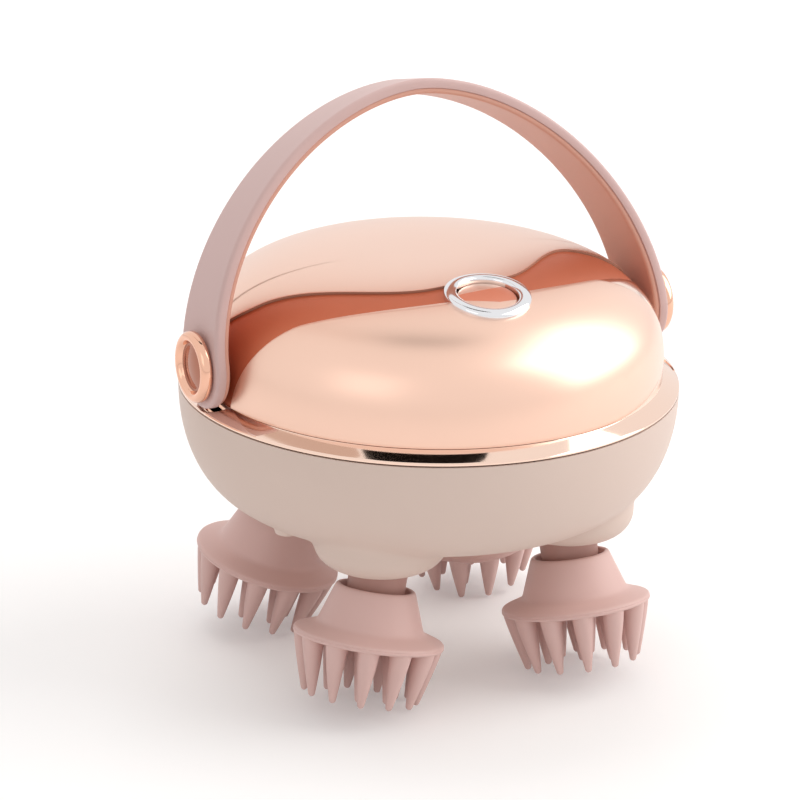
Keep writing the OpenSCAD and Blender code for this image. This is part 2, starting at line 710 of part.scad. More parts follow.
lower_housing();
seam_gasket();
trim_ring();
inner_dome();
front_panel();
rear_panel();
button_bezel();
button_cap();
circuit_board();
tact_switch();
battery();
battery_tray();
motor_plate();
plate_screws();
housing_screws();
motor();
motor_shaft();
motor_pinion();
compound_gear();
compound_axle();
sun_gear();
sun_axle();
charge_socket();
battery_leads();
motor_leads();
handle_strap();
strap_lining();
hinge_cap(-1);  // hinge_cap_left
hinge_cap(1);  // hinge_cap_right
hinge_pin(-1);  // hinge_pin_left
hinge_pin(1);  // hinge_pin_right
for (i = [0:3]) {
    output_gear(i);
    output_shaft(i);
    shaft_bush(i);
    neck(i);
    head_core(i);
    massage_claw(i);
}
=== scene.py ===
"""Electric scalp massager: its visible skins and finishes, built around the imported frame.

Sizes are millimetres, in the frame's own axes, and are scaled to metres as a mesh is made.
"""

import json
import math

import bmesh
import bpy
import numpy as np
from mathutils import Matrix, Vector


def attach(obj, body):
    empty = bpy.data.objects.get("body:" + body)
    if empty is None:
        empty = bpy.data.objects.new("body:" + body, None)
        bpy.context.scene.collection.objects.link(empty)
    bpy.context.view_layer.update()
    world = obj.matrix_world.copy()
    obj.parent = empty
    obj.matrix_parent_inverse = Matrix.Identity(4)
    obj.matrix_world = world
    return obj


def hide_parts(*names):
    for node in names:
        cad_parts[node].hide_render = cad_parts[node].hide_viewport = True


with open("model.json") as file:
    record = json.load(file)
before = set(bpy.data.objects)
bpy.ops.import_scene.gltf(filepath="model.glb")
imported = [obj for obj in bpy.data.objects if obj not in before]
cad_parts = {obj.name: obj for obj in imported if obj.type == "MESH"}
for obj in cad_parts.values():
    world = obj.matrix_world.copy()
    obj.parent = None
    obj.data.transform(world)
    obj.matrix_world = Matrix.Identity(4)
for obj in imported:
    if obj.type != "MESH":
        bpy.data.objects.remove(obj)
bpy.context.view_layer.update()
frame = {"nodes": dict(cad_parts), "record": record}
nodes = frame["nodes"]

# ---- Photographer's table -------------------------------------------------------------------
# The massager stands on a seamless white sweep. Soft boxes at the right and high at the rear
# light it, a weak one fills the left side, and the polished trim mirrors two cards.
MM = 0.001
CAMERA_AZIMUTH = math.radians(-28.01)
CAMERA_ELEVATION = math.radians(20.934)
CAMERA_ROLL = math.radians(1.348)
CAMERA_DISTANCE = 681.2
CAMERA_AIM = Vector((0, 0, 32))
FOCAL_PIXELS = 3954.5
PRINCIPAL_POINT = (426.54, 471.99)
FRAME_PIXELS = 800
SENSOR = 36

camera_back = Vector(
    (
        math.sin(CAMERA_AZIMUTH) * math.cos(CAMERA_ELEVATION),
        -math.cos(CAMERA_AZIMUTH) * math.cos(CAMERA_ELEVATION),
        math.sin(CAMERA_ELEVATION),
    )
)
level_right = Vector((math.cos(CAMERA_AZIMUTH), math.sin(CAMERA_AZIMUTH), 0))
level_up = camera_back.cross(level_right)
camera_right = math.cos(CAMERA_ROLL) * level_right + math.sin(CAMERA_ROLL) * level_up
camera_up = math.cos(CAMERA_ROLL) * level_up - math.sin(CAMERA_ROLL) * level_right
camera = bpy.data.objects.new("camera", bpy.data.cameras.new("camera"))
camera.matrix_world = Matrix.Translation((CAMERA_AIM + camera_back * CAMERA_DISTANCE) * MM) @ (
    Matrix((camera_right, camera_up, camera_back)).transposed().to_4x4()
)
camera.data.sensor_width = SENSOR
camera.data.lens = FOCAL_PIXELS * SENSOR / FRAME_PIXELS
camera.data.shift_x = (FRAME_PIXELS / 2 - PRINCIPAL_POINT[0]) / FRAME_PIXELS
camera.data.shift_y = (PRINCIPAL_POINT[1] - FRAME_PIXELS / 2) / FRAME_PIXELS
camera.data.clip_start = 0.01
bpy.context.collection.objects.link(camera)
scene = bpy.context.scene
scene.camera = camera
scene.view_settings.view_transform = "Standard"


def math_node(tree, operation, *values):
    """The result of a math node. Each value is another node's output or a plain number."""
    node = tree.nodes.new("ShaderNodeMath")
    node.operation = operation
    for socket, value in zip(node.inputs, values):
        if isinstance(value, bpy.types.NodeSocket):
            tree.links.new(value, socket)
        else:
            socket.default_value = value
    return node.outputs[0]


def seen_rays(tree):
    """Light Path's camera, glossy and transmission rays as one mask."""
    path = tree.nodes.new("ShaderNodeLightPath")
    mask = path.outputs["Is Camera Ray"]
    for other in ("Is Glossy Ray", "Is Transmission Ray"):
        mask = math_node(tree, "MAXIMUM", mask, path.outputs[other])
    return mask


world = bpy.data.worlds.new("white_room")
world.use_nodes = True
room = world.node_tree
room.nodes.clear()
room_light = room.nodes.new("ShaderNodeBackground")
room_light.inputs["Color"].default_value = (1.0, 0.985, 0.97, 1)
room_light.inputs["Strength"].default_value = 0.62
room_seen = room.nodes.new("ShaderNodeBackground")
room_seen.inputs["Color"].default_value = (1, 1, 1, 1)
room_mix = room.nodes.new("ShaderNodeMixShader")
room_out = room.nodes.new("ShaderNodeOutputWorld")
room.links.new(seen_rays(room), room_mix.inputs[0])
room.links.new(room_light.outputs[0], room_mix.inputs[1])
room.links.new(room_seen.outputs[0], room_mix.inputs[2])
room.links.new(room_mix.outputs[0], room_out.inputs["Surface"])
scene.world = world


LAMP_AIM = Vector((0, 0, 0.05))


def soft_box(name, place, size, watts, tint=(1, 1, 1)):
    """A square area lamp that points at the massager. Its place and size are in metres."""
    data = bpy.data.lights.new(name, "AREA")
    data.size = size
    data.energy = watts
    data.color = tint
    lamp = bpy.data.objects.new(name, data)
    toward = (LAMP_AIM - Vector(place)).to_track_quat("-Z", "Y")
    lamp.matrix_world = Matrix.Translation(place) @ toward.to_matrix().to_4x4()
    bpy.context.collection.objects.link(lamp)
    return lamp


soft_box("right_soft_box", (0.68, -0.26, 0.54), 0.85, 4.6, (1, 0.99, 0.97))
soft_box("left_soft_box", (-0.75, -0.45, 0.5), 0.5, 0.35, (1, 0.97, 0.95))
top_lamp = soft_box("top_soft_box", (0.05, 0.45, 0.85), 0.7, 2.6)
top_lamp.visible_glossy = False

SWEEP = 4.0
PAPER_GLOW = 0.19
sweep_mesh = bpy.data.meshes.new("sweep")
sweep_corners = [(-SWEEP, -SWEEP, 0), (SWEEP, -SWEEP, 0), (SWEEP, SWEEP, 0), (-SWEEP, SWEEP, 0)]
sweep_mesh.from_pydata(sweep_corners, [], [(0, 1, 2, 3)])
sweep = bpy.data.objects.new("sweep", sweep_mesh)
bpy.context.collection.objects.link(sweep)
sweep_paper = bpy.data.materials.new("sweep_paper")
sweep_paper.use_nodes = True
paper = sweep_paper.node_tree
paper_bsdf = paper.nodes["Principled BSDF"]
paper_bsdf.inputs["Base Color"].default_value = (0.86, 0.85, 0.85, 1)
paper_bsdf.inputs["Roughness"].default_value = 0.9
paper_bsdf.inputs["Specular IOR Level"].default_value = 0.1
paper_bsdf.inputs["Emission Color"].default_value = (1, 1, 1, 1)
paper_glow = math_node(paper, "MULTIPLY", seen_rays(paper), PAPER_GLOW)
paper.links.new(paper_glow, paper_bsdf.inputs["Emission Strength"])
sweep_mesh.materials.append(sweep_paper)

# Two cards hang where the polished trim mirrors them: a black one shows as the dark patch in
# front, a warm grey one as the duller stretch to its left
CARD_HEIGHT = 620
CARD_STEPS = 16
TRIM_MIDDLE = Vector((41.3, 0, 50.4))
TRIM_SLOPE = Vector((1.65, 0, 2.84)).normalized()
camera_place = CAMERA_AIM + camera_back * CAMERA_DISTANCE


def mirrored_card(name, first, last, half, color):
    """A curved strip overhead that covers the trim's reflection between two azimuths."""
    points = []
    for step in range(CARD_STEPS + 1):
        turn = Matrix.Rotation(math.radians(first + (last - first) * step / CARD_STEPS), 3, "Z")
        spot = turn @ TRIM_MIDDLE
        toward = (camera_place - spot).normalized()
        ray = 2 * toward.dot(turn @ TRIM_SLOPE) * (turn @ TRIM_SLOPE) - toward
        hit = spot + ray * ((CARD_HEIGHT - spot.z) / ray.z)
        across = (hit - camera_place).to_2d().normalized().to_3d()
        reach = half * min(1, 0.4 + step / 3, 0.3 + (CARD_STEPS - step) / 4)
        points += [(hit + across * reach) * MM, (hit - across * reach) * MM]
    mesh = bpy.data.meshes.new(name)
    mesh.from_pydata(points, [], [(k, k + 1, k + 3, k + 2) for k in range(0, 2 * CARD_STEPS, 2)])
    card = bpy.data.objects.new(name, mesh)
    bpy.context.collection.objects.link(card)
    cloth = bpy.data.materials.new(name)
    cloth.use_nodes = True
    felt = cloth.node_tree.nodes["Principled BSDF"]
    felt.inputs["Base Color"].default_value = (0.01, 0.008, 0.007, 1)
    felt.inputs["Roughness"].default_value = 1
    felt.inputs["Specular IOR Level"].default_value = 0
    felt.inputs["Emission Color"].default_value = (*color, 1)
    felt.inputs["Emission Strength"].default_value = 1
    mesh.materials.append(cloth)
    card.visible_camera = False
    card.visible_shadow = False
    card.visible_diffuse = False


mirrored_card("black_card", -132.4, -104.5, 48, (0, 0, 0))
mirrored_card("grey_card", -172, -133.5, 60, (0.66, 0.53, 0.47))

# ---- Lower housing --------------------------------------------------------------------------
# The bowl that the drive sits in: moulded in pale pink-beige plastic with a fine matt skin.
# Four round bosses under it, with soft fillets, carry the shafts of the massage heads.
SEAM_R = 42.7
SEAM_Z = 49.0
BOWL_DEPTH = 19.8
BOWL_FLAT_R = 30.0
BOWL_FULLNESS = 2.1
BOWL_WALL = 2.0
BOSS_R = 11.4
BOSS_ROUND = 4.2
BOSS_FILLET = 1.2
MOUTH_R = 5.6
MOUTH_LIP = 0.5
HEAD_R = 25.2
HEAD_AT = (225, 315, 45, 135)
LIP_Z = 25.017
BUSH_Z = 28.317
BUSH_TOP = 33.197
CASE_POST_AT = (18, 162, 198, 342)
CASE_POST_R = 33
SCREW_SEAT_Z = 31.8
WELL_R = 2.1
SCREW_HOLE_R = 1.2
POST_R = 2.6
BUSH_BORE_R = 4.02
GUIDE_R = 5.6
LINER_R = 7.4
SOCKET_Z = 42.0
SOCKET_W = 9.2
SOCKET_H = 3.4


def bowl_distance(p):
    """Roughly how far points lie outside the bowl."""
    over = np.maximum(np.hypot(p[:, 0], p[:, 1]) - BOWL_FLAT_R, 0) / (SEAM_R - BOWL_FLAT_R)
    down = np.maximum(SEAM_Z - p[:, 2], 0) / BOWL_DEPTH
    n = BOWL_FULLNESS
    level = np.maximum(over**n + down**n, 1e-9) ** (1 / n)
    slope_out = (over / level) ** (n - 1) / (SEAM_R - BOWL_FLAT_R)
    slope_down = (down / level) ** (n - 1) / BOWL_DEPTH
    return (level - 1) / np.maximum(np.hypot(slope_out, slope_down), 1e-4)


def boss_distance(p, angle):
    """How far points lie outside one boss, a post with a rounded lower edge."""
    cx, cy = HEAD_R * math.cos(math.radians(angle)), HEAD_R * math.sin(math.radians(angle))
    out = np.hypot(p[:, 0] - cx, p[:, 1] - cy) - (BOSS_R - BOSS_ROUND)
    down = LIP_Z + BOSS_ROUND - p[:, 2]
    corner = np.hypot(np.maximum(out, 0), np.maximum(down, 0))
    return corner + np.minimum(np.maximum(out, down), 0) - BOSS_ROUND


def housing_distance(p):
    """The bowl and its bosses, run together with a fillet."""
    nearest = bowl_distance(p)
    for angle in HEAD_AT:
        boss = boss_distance(p, angle)
        blend = np.maximum(BOSS_FILLET - np.abs(nearest - boss), 0) / BOSS_FILLET
        nearest = np.minimum(nearest, boss) - blend**2 * BOSS_FILLET / 4
    return nearest


def turned(profile, steps=96):
    """Points and faces of a profile of (radius, height) turned about Z. Radius 0 is a pole."""
    points, rings, faces = [], [], []
    for r, z in profile:
        start = len(points)
        if r < 1e-6:
            points.append((0, 0, z))
            rings.append([start] * steps)
        else:
            turns = [math.tau * k / steps for k in range(steps)]
            points += [(r * math.cos(a), r * math.sin(a), z) for a in turns]
            rings.append(list(range(start, start + steps)))
    for low, high in zip(rings, rings[1:]):
        for k in range(steps):
            after = (k + 1) % steps
            corners = list(dict.fromkeys((low[k], low[after], high[after], high[k])))
            if len(corners) > 2:
                faces.append(corners)
    return points, faces


def mesh_piece(name, points, faces, place=None, outward_from=None):
    """A mesh object from millimetre points. An open skin is turned to face away from a point."""
    mesh = bpy.data.meshes.new(name)
    mesh.from_pydata([Vector(p) for p in points], [], faces)
    work = bmesh.new()
    work.from_mesh(mesh)
    if place:
        work.transform(place)
    work.transform(Matrix.Scale(MM, 4))
    bmesh.ops.remove_doubles(work, verts=work.verts, dist=0.004 * MM)
    bmesh.ops.dissolve_degenerate(work, edges=work.edges, dist=0.001 * MM)
    bmesh.ops.recalc_face_normals(work, faces=work.faces)
    if outward_from is not None:
        centre = Vector(outward_from) * MM
        facing = sum(f.normal.dot(f.calc_center_median() - centre) * f.calc_area() for f in work.faces)
        if facing < 0:
            bmesh.ops.reverse_faces(work, faces=work.faces)
    work.to_mesh(mesh)
    work.free()
    piece = bpy.data.objects.new(name, mesh)
    bpy.context.collection.objects.link(piece)
    return piece


def settle(piece, sharp=35):
    """Applies a piece's modifiers, shades it smooth and keeps its sharp edges."""
    ready = bpy.data.meshes.new_from_object(piece.evaluated_get(bpy.context.evaluated_depsgraph_get()))
    first = piece.data
    piece.modifiers.clear()
    piece.data = ready
    bpy.data.meshes.remove(first)
    ready.name = piece.name
    ready.shade_smooth()
    ready.set_sharp_from_angle(angle=math.radians(sharp))
    return piece


def add_wall(piece, thickness, rim=0):
    """Thickens a skin inward. With rim 1 its edge takes the piece's second material."""
    wall = piece.modifiers.new("wall", "SOLIDIFY")
    wall.thickness = thickness * MM
    wall.offset = -1
    wall.material_offset_rim = rim


def discard(piece):
    """Removes a piece that has done its work, and its mesh."""
    mesh = piece.data
    bpy.data.objects.remove(piece)
    bpy.data.meshes.remove(mesh)


def cut(piece, *tools):
    """Cuts the tools' shapes out of a piece, and removes the tools."""
    for tool in tools:
        bite = piece.modifiers.new("cut", "BOOLEAN")
        bite.operation = "DIFFERENCE"
        bite.solver = "EXACT"
        bite.object = tool
    settle(piece)
    for tool in tools:
        discard(tool)


def drill(r, low, high, place, steps=64):
    """A cutting tool: a round bar from low to high on the Z axis of place."""
    return mesh_piece("drill", *turned([(0, low), (r, low), (r, high), (0, high)], steps), place=place)


def join(piece, *others):
    """Adds other pieces' meshes to a piece."""
    work = bmesh.new()
    for part in (piece, *others):
        work.from_mesh(part.data)
    work.to_mesh(piece.data)
    work.free()
    for part in others:
        discard(part)
    return piece


def turned_place(angle, r, z=0.0):
    """A place at a distance and height, turned by an angle in degrees round Z."""
    return Matrix.Rotation(math.radians(angle), 4, "Z") @ Matrix.Translation((r, 0, z))


def at_boss(i, z=0.0):
    return turned_place(HEAD_AT[i], HEAD_R, z)


# The skin is where rays from the seam's centre meet the shape, found in short steps along them
AROUND = 240
DOWN = 96
around = np.repeat(np.arange(AROUND) * math.tau / AROUND, DOWN)
dip = np.tile(np.linspace(0, math.pi / 2, DOWN + 1)[:-1], AROUND)
rays = np.stack([np.cos(around) * np.cos(dip), np.sin(around) * np.cos(dip), -np.sin(dip)], 1)
centre = np.array([0, 0, SEAM_Z])
reach = np.full(len(rays), 70.0)
for _ in range(90):
    reach -= np.clip(housing_distance(centre + rays * reach[:, None]) * 0.6, -0.5, 6)
skin = [tuple(p) for p in centre + rays * reach[:, None]] + [(0, 0, SEAM_Z - BOWL_DEPTH)]
skin_faces = []
for k in range(AROUND):
    a, b = k * DOWN, (k + 1) % AROUND * DOWN
    skin_faces += [(a + j, b + j, b + j + 1, a + j + 1) for j in range(DOWN - 1)]
    skin_faces.append((a + DOWN - 1, b + DOWN - 1, len(skin) - 1))
housing = mesh_piece("lower_housing_skin", skin, skin_faces, outward_from=(0, 0, SEAM_Z))
add_wall(housing, BOWL_WALL)
settle(housing)
case_posts = [turned_place(angle, CASE_POST_R) for angle in CASE_POST_AT]
slot_sides = (-SOCKET_W / 2, SOCKET_W / 2)
slot_heights = (SOCKET_Z - SOCKET_H / 2, SOCKET_Z + SOCKET_H / 2)
socket_slot = mesh_piece(
    "drill",
    [(x, y, z) for x in slot_sides for y in (30, 50) for z in slot_heights],
    [(0, 1, 3, 2), (4, 5, 7, 6), (0, 1, 5, 4), (2, 3, 7, 6), (0, 2, 6, 4), (1, 3, 7, 5)])
slot_round = socket_slot.modifiers.new("round", "BEVEL")
slot_round.width = SOCKET_H / 2 * 0.98 * MM
slot_round.segments = 8
slot_round.affect = "EDGES"
slot_round.limit_method = "WEIGHT"
long_edges = socket_slot.data.attributes.new("bevel_weight_edge", "FLOAT", "EDGE")
for edge in socket_slot.data.edges:
    ends = [socket_slot.data.vertices[v].co for v in edge.vertices]
    long_edges.data[edge.index].value = 1.0 if abs(ends[0].y - ends[1].y) > 0.01 else 0.0
settle(socket_slot)
cut(
    housing,
    *[drill(MOUTH_R, LIP_Z - 2, LIP_Z + 3, at_boss(i)) for i in range(4)],
    *[drill(WELL_R, 20, SCREW_SEAT_Z, post, 32) for post in case_posts],
    socket_slot)
liners = []
for i in range(4):
    tube = [(MOUTH_R, LIP_Z + 0.25), (MOUTH_R, BUSH_Z), (BUSH_BORE_R, BUSH_Z), (BUSH_BORE_R, BUSH_TOP - 0.3),
            (GUIDE_R, BUSH_TOP - 0.3), (GUIDE_R, BUSH_Z + 1.6), (LINER_R, BUSH_Z + 0.4),
            (LINER_R, LIP_Z + 0.25), (MOUTH_R, LIP_Z + 0.25)]
    liners.append(mesh_piece("liner", *turned(tube, 64), place=at_boss(i)))
    low = LIP_Z - MOUTH_LIP
    lip = [(MOUTH_R, LIP_Z + 0.4), (MOUTH_R, low + 0.15), (MOUTH_R + 0.12, low), (MOUTH_R + 0.45, low),
           (MOUTH_R + 0.62, low + 0.18), (MOUTH_R + 0.7, LIP_Z - 0.05), (MOUTH_R + 0.9, LIP_Z + 0.4),
           (MOUTH_R, LIP_Z + 0.4)]
    liners.append(mesh_piece("liner", *turned(lip, 64), place=at_boss(i)))
for post in case_posts:
    well = [(WELL_R, SCREW_SEAT_Z - 2), (WELL_R, SCREW_SEAT_Z), (SCREW_HOLE_R, SCREW_SEAT_Z),
            (SCREW_HOLE_R, SEAM_Z - 0.2), (POST_R, SEAM_Z - 0.2), (POST_R, SCREW_SEAT_Z - 0.6),
            (WELL_R, SCREW_SEAT_Z - 2)]
    liners.append(mesh_piece("liner", *turned(well, 40), place=post))
join(housing, *liners)
settle(housing)


def effect_group(name, inputs, outputs):
    """A shader node group with named sockets: (name, socket type, default)."""
    group = bpy.data.node_groups.new(name, "ShaderNodeTree")
    for label, kind, default in inputs:
        socket = group.interface.new_socket(label, in_out="INPUT", socket_type=kind)
        socket.default_value = default
    for label, kind in outputs:
        group.interface.new_socket(label, in_out="OUTPUT", socket_type=kind)
    return group, group.nodes.new("NodeGroupInput"), group.nodes.new("NodeGroupOutput")


# Moulded skin: a fine spark texture with faint clouds of tone, for plastics, rubber and paint
moulded_skin, skin_in, skin_out = effect_group(
    "moulded_skin",
    [("Color", "NodeSocketColor", (0.8, 0.8, 0.8, 1)), ("Grain", "NodeSocketFloat", 3000.0),
     ("Cloud", "NodeSocketFloat", 60.0), ("Tone", "NodeSocketFloat", 0.06),
     ("Roughness", "NodeSocketFloat", 0.5), ("Spread", "NodeSocketFloat", 0.08)],
    [("Color", "NodeSocketColor"), ("Roughness", "NodeSocketFloat"), ("Height", "NodeSocketFloat")])
links = moulded_skin.links
where = moulded_skin.nodes.new("ShaderNodeTexCoord")
grain = moulded_skin.nodes.new("ShaderNodeTexNoise")
grain.inputs["Detail"].default_value = 2
cloud = moulded_skin.nodes.new("ShaderNodeTexNoise")
cloud.inputs["Detail"].default_value = 3
links.new(where.outputs["Object"], grain.inputs["Vector"])
links.new(where.outputs["Object"], cloud.inputs["Vector"])
links.new(skin_in.outputs["Grain"], grain.inputs["Scale"])
links.new(skin_in.outputs["Cloud"], cloud.inputs["Scale"])
swing = math_node(moulded_skin, "SUBTRACT", cloud.outputs["Fac"], 0.5)
tone = math_node(moulded_skin, "MULTIPLY_ADD", swing, skin_in.outputs["Tone"], 1.0)
shade = moulded_skin.nodes.new("ShaderNodeVectorMath")
shade.operation = "SCALE"
links.new(skin_in.outputs["Color"], shade.inputs[0])
links.new(tone, shade.inputs["Scale"])
links.new(shade.outputs[0], skin_out.inputs["Color"])
rough = math_node(
    moulded_skin, "MULTIPLY_ADD", swing, skin_in.outputs["Spread"], skin_in.outputs["Roughness"])
links.new(rough, skin_out.inputs["Roughness"])
links.new(grain.outputs["Fac"], skin_out.inputs["Height"])


def moulded(name, color, roughness, grain=3000.0, bump=0.15, tone=0.06, spread=0.08, cloud=60.0, **constants):
    """A material with the moulded skin, and plain values on the shader's own sockets."""
    material = bpy.data.materials.new(name)
    material.use_nodes = True
    tree = material.node_tree
    shader = tree.nodes["Principled BSDF"]
    skin_node = tree.nodes.new("ShaderNodeGroup")
    skin_node.node_tree = moulded_skin
    for label, value in (("Color", (*color, 1)), ("Grain", grain), ("Cloud", cloud), ("Tone", tone),
                         ("Roughness", roughness), ("Spread", spread)):
        skin_node.inputs[label].default_value = value
    bumps = tree.nodes.new("ShaderNodeBump")
    bumps.inputs["Strength"].default_value = bump
    bumps.inputs["Distance"].default_value = 0.03 * MM
    tree.links.new(skin_node.outputs["Color"], shader.inputs["Base Color"])
    tree.links.new(skin_node.outputs["Roughness"], shader.inputs["Roughness"])
    tree.links.new(skin_node.outputs["Height"], bumps.inputs["Height"])
    tree.links.new(bumps.outputs["Normal"], shader.inputs["Normal"])
    for label, value in constants.items():
        shader.inputs[label.replace("_", " ")].default_value = value
    return material


pale_shell = moulded("pale_matt_shell", (0.745, 0.59, 0.515), 0.5, grain=3400, bump=0.2, tone=0.04)
housing.data.materials.append(pale_shell)
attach(housing, "root")
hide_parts("lower_housing")

# ---- Trim ring ------------------------------------------------------------------------------
# A rose-gold plated strip that slopes from the bowl's seam up to the dome. On the right it
# climbs into a smooth ear beside the front panel. It clips over the dome's lower edge.
DOME_R = 40.0
CREASE_Z = 51.3
DOME_RISE = 20.7
DOME_FULLNESS = 3.0
FRONT_EDGE_Y = 22.3
FRONT_EDGE_R = 54.0
REAR_EDGE_Y = 16.2
PANEL_LEFT = -172.6
LEFT_FROM = -157.0
HINGE_Z = 57.5
POCKET_R = 7.9
PAST_SIDE = 50
TRIM_Z = SEAM_Z + 0.3
TRIM_SINK = 0.14
TRIM_FOOT = 0.25
TRIM_STOP = 0.1
TRIM_BULGE = 0.012
TRIM_WALL = 0.8
EAR_FROM = -66
EAR_RUN = 24
WAVE_LEFT = (17, 8, 32)
WAVE_RIGHT = (12.6, 4, 22)


def dome_point(azimuth, lift, depth=0.0):
    """A point of the dome: azimuth and lift are in degrees, lift 0 at the crease and 90 on top."""
    c, s = math.cos(math.radians(lift)), math.sin(math.radians(lift))
    k = (max(c, 0) ** DOME_FULLNESS + max(s, 0) ** DOME_FULLNESS) ** (-1 / DOME_FULLNESS)
    rho = (DOME_R - depth) * k * max(c, 0)
    a = math.radians(azimuth)
    return rho * math.cos(a), rho * math.sin(a), CREASE_Z + (DOME_RISE - depth) * k * max(s, 0)


def lift_at(rho):
    """The lift of the dome's point at a distance from the axis."""
    c = min(max(rho / DOME_R, 0), 1)
    return math.degrees(math.atan2((1 - c**DOME_FULLNESS) ** (1 / DOME_FULLNESS), c))


def front_edge_lift(azimuth, gap=0.0):
    """Lift of the front panel's rear edge: a wide arc in plan, rounded off at its left end."""
    back = FRONT_EDGE_R - FRONT_EDGE_Y
    s = back * math.sin(math.radians(azimuth))
    lift = lift_at(s + math.sqrt(s * s + (FRONT_EDGE_R - gap) ** 2 - back * back))
    if azimuth < LEFT_FROM:
        lift *= math.sqrt(max(1 - ((azimuth - LEFT_FROM) / (PANEL_LEFT - LEFT_FROM)) ** 2, 0))
    return lift


def ease(u):
    return 0 if u <= 0 else 1 if u >= 1 else (1 - math.cos(math.pi * u)) / 2


def rear_edge(x):
    """Plan of the rear panel's front edge: it waves back towards each hinge, and curls in there."""
    size, start, run = WAVE_LEFT if x < 0 else WAVE_RIGHT
    return -REAR_EDGE_Y + size * ease((abs(x) - start) / run) + 6 * (max(abs(x) - 33, 0) / 6.5) ** 2


def rear_edge_lift(azimuth, gap=0.0):
    """Lift of the rear panel's front edge, or 0 where the rear panel reaches the crease."""
    if 20 <= azimuth <= 160:
        return 0.0
    c, s = math.cos(math.radians(azimuth)), math.sin(math.radians(azimuth))

    def behind(rho):
        return rho * s - rear_edge(rho * c) + gap

    outer = DOME_R
    if behind(outer) > 0:
        return 0.0
    while outer > 0.1 and behind(outer - 0.1) <= 0:
        outer -= 0.1
    inner = outer - 0.1
    for _ in range(20):
        middle = (inner + outer) / 2
        if behind(middle) > 0:
            inner = middle
        else:
            outer = middle
    return lift_at(outer)


# Azimuths round the dome, closer together beside the hinges
beside_hinges = [*np.arange(-18, 18, 0.5), *np.arange(162, 180, 0.5), *np.arange(-180, -162, 0.5)]
AZIMUTHS = sorted({round(a, 3) for a in [*np.arange(-180, 180, 1.5), *beside_hinges]})


def loft(columns, closed):
    """Points and faces of a grid whose columns all have the same number of points."""
    rows = len(columns[0])
    points = [p for column in columns for p in column]
    faces = []
    for k in range(len(columns) if closed else len(columns) - 1):
        a, b = k * rows, (k + 1) % len(columns) * rows
        faces += [(a + j, b + j, b + j + 1, a + j + 1) for j in range(rows - 1)]
    return points, faces


def ear_lift(azimuth):
    """How high the trim climbs: up to the band, on the right of the front panel only."""
    if not EAR_FROM < azimuth < 0:
        return 0.0
    return front_edge_lift(azimuth, -0.15) * ease((azimuth - EAR_FROM) / EAR_RUN)


def strip_height(u):
    """Height of the trim's slope, from 0 at the seam to 1 at the crease."""
    return TRIM_Z + TRIM_FOOT + (CREASE_Z - TRIM_STOP - TRIM_Z - TRIM_FOOT) * u


trim_columns = []
for azimuth in AZIMUTHS:
    a = math.radians(azimuth)
    column = [(SEAM_R * math.cos(a), SEAM_R * math.sin(a), TRIM_Z)]
    for u in np.linspace(0, 1, 9):
        rho = SEAM_R + (DOME_R - TRIM_SINK - SEAM_R) * u
        z = strip_height(u + TRIM_BULGE * math.sin(math.pi * u))
        column.append((rho * math.cos(a), rho * math.sin(a), z))
    top = ear_lift(azimuth)
    column += [dome_point(azimuth, top * u, TRIM_SINK) for u in np.linspace(0, 1, 25)[1:]]
    trim_columns.append(column)
trim = mesh_piece("trim_strip", *loft(trim_columns, True), outward_from=(0, 0, 40))
add_wall(trim, TRIM_WALL)


def soften(piece, width, material=-1):
    """Rounds a piece's sharp edges off, in the material of its faces or in one of its own."""
    soft_edge = piece.modifiers.new("soft_edge", "BEVEL")
    soft_edge.width = width * MM
    soft_edge.segments = 2
    soft_edge.limit_method = "ANGLE"
    soft_edge.angle_limit = math.radians(50)
    soft_edge.material = material


soften(trim, 0.08)
settle(trim, 40)


def at_hinge(side):
    """The hinge axis at side 1 or -1, with +Z outward."""
    return Matrix.Translation((0, 0, HINGE_Z)) @ Matrix.Rotation(side * math.pi / 2, 4, "Y")


def hinge_pockets(floor):
    """Cutting tools for the round pockets behind the strap's ends."""
    return [drill(POCKET_R, floor, PAST_SIDE, at_hinge(side), 96) for side in (-1, 1)]


cut(trim, *hinge_pockets(40.1))


def plated(name, color, roughness, grain=500.0, bump=0.02, tone=0.02, spread=0.03, **constants):
    """Bright plating: a mirror with a trace of haze."""
    constants["Metallic"] = 1.0
    return moulded(name, color, roughness, grain=grain, bump=bump, tone=tone, spread=spread, **constants)


rose_mirror = plated("rose_gold_plating", (0.92, 0.68, 0.56), 0.06)
trim.data.materials.append(rose_mirror)
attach(trim, "root")
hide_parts("trim_ring")

# ---- Hinge shoes ----------------------------------------------------------------------------
# Pale facets of the trim under each strap end. Each runs out to a point front and rear, and its
# rim is painted dark: painted shade for the slit that sets it off from the strip.
SHOE_POINT = 20.6
SHOE_FULL = 7.0
SHOE_TOP = 0.97
SHOE_FOOT = 0.03
SHOE_PROUD = 0.16
SHOE_WALL = 0.4
shoes = []
for middle in (180, 0):
    columns = []
    for turn in np.linspace(-SHOE_POINT, SHOE_POINT, 61):
        top = SHOE_TOP * (1 - ease((abs(turn) - SHOE_FULL) / (SHOE_POINT - SHOE_FULL)) * 0.9)
        a = math.radians(middle + turn)
        column = []
        for u in np.linspace(SHOE_FOOT, top, 9):
            rho = SEAM_R + (DOME_R - SEAM_R) * u + 0.02
            column.append((rho * math.cos(a), rho * math.sin(a), strip_height(u) + SHOE_PROUD))
        columns.append(column)
    shoe = mesh_piece("hinge_shoe", *loft(columns, False), outward_from=(0, 0, 40))
    add_wall(shoe, SHOE_WALL, rim=1)
    settle(shoe, 40)
    shoes.append(shoe)
shoe_plates = join(*shoes)
shoe_plates.name = "hinge_shoes"
cut(shoe_plates, *hinge_pockets(39.5))
shoe_plates.data.materials.append(plated("rose_gold_facet", (0.93, 0.72, 0.63), 0.2))
# Painted shade: this dark colour on rims and rounded edges stands for the shade in the narrow gaps
seam_shadow = moulded("seam_shadow", (0.38, 0.17, 0.11), 0.6, bump=0.05)
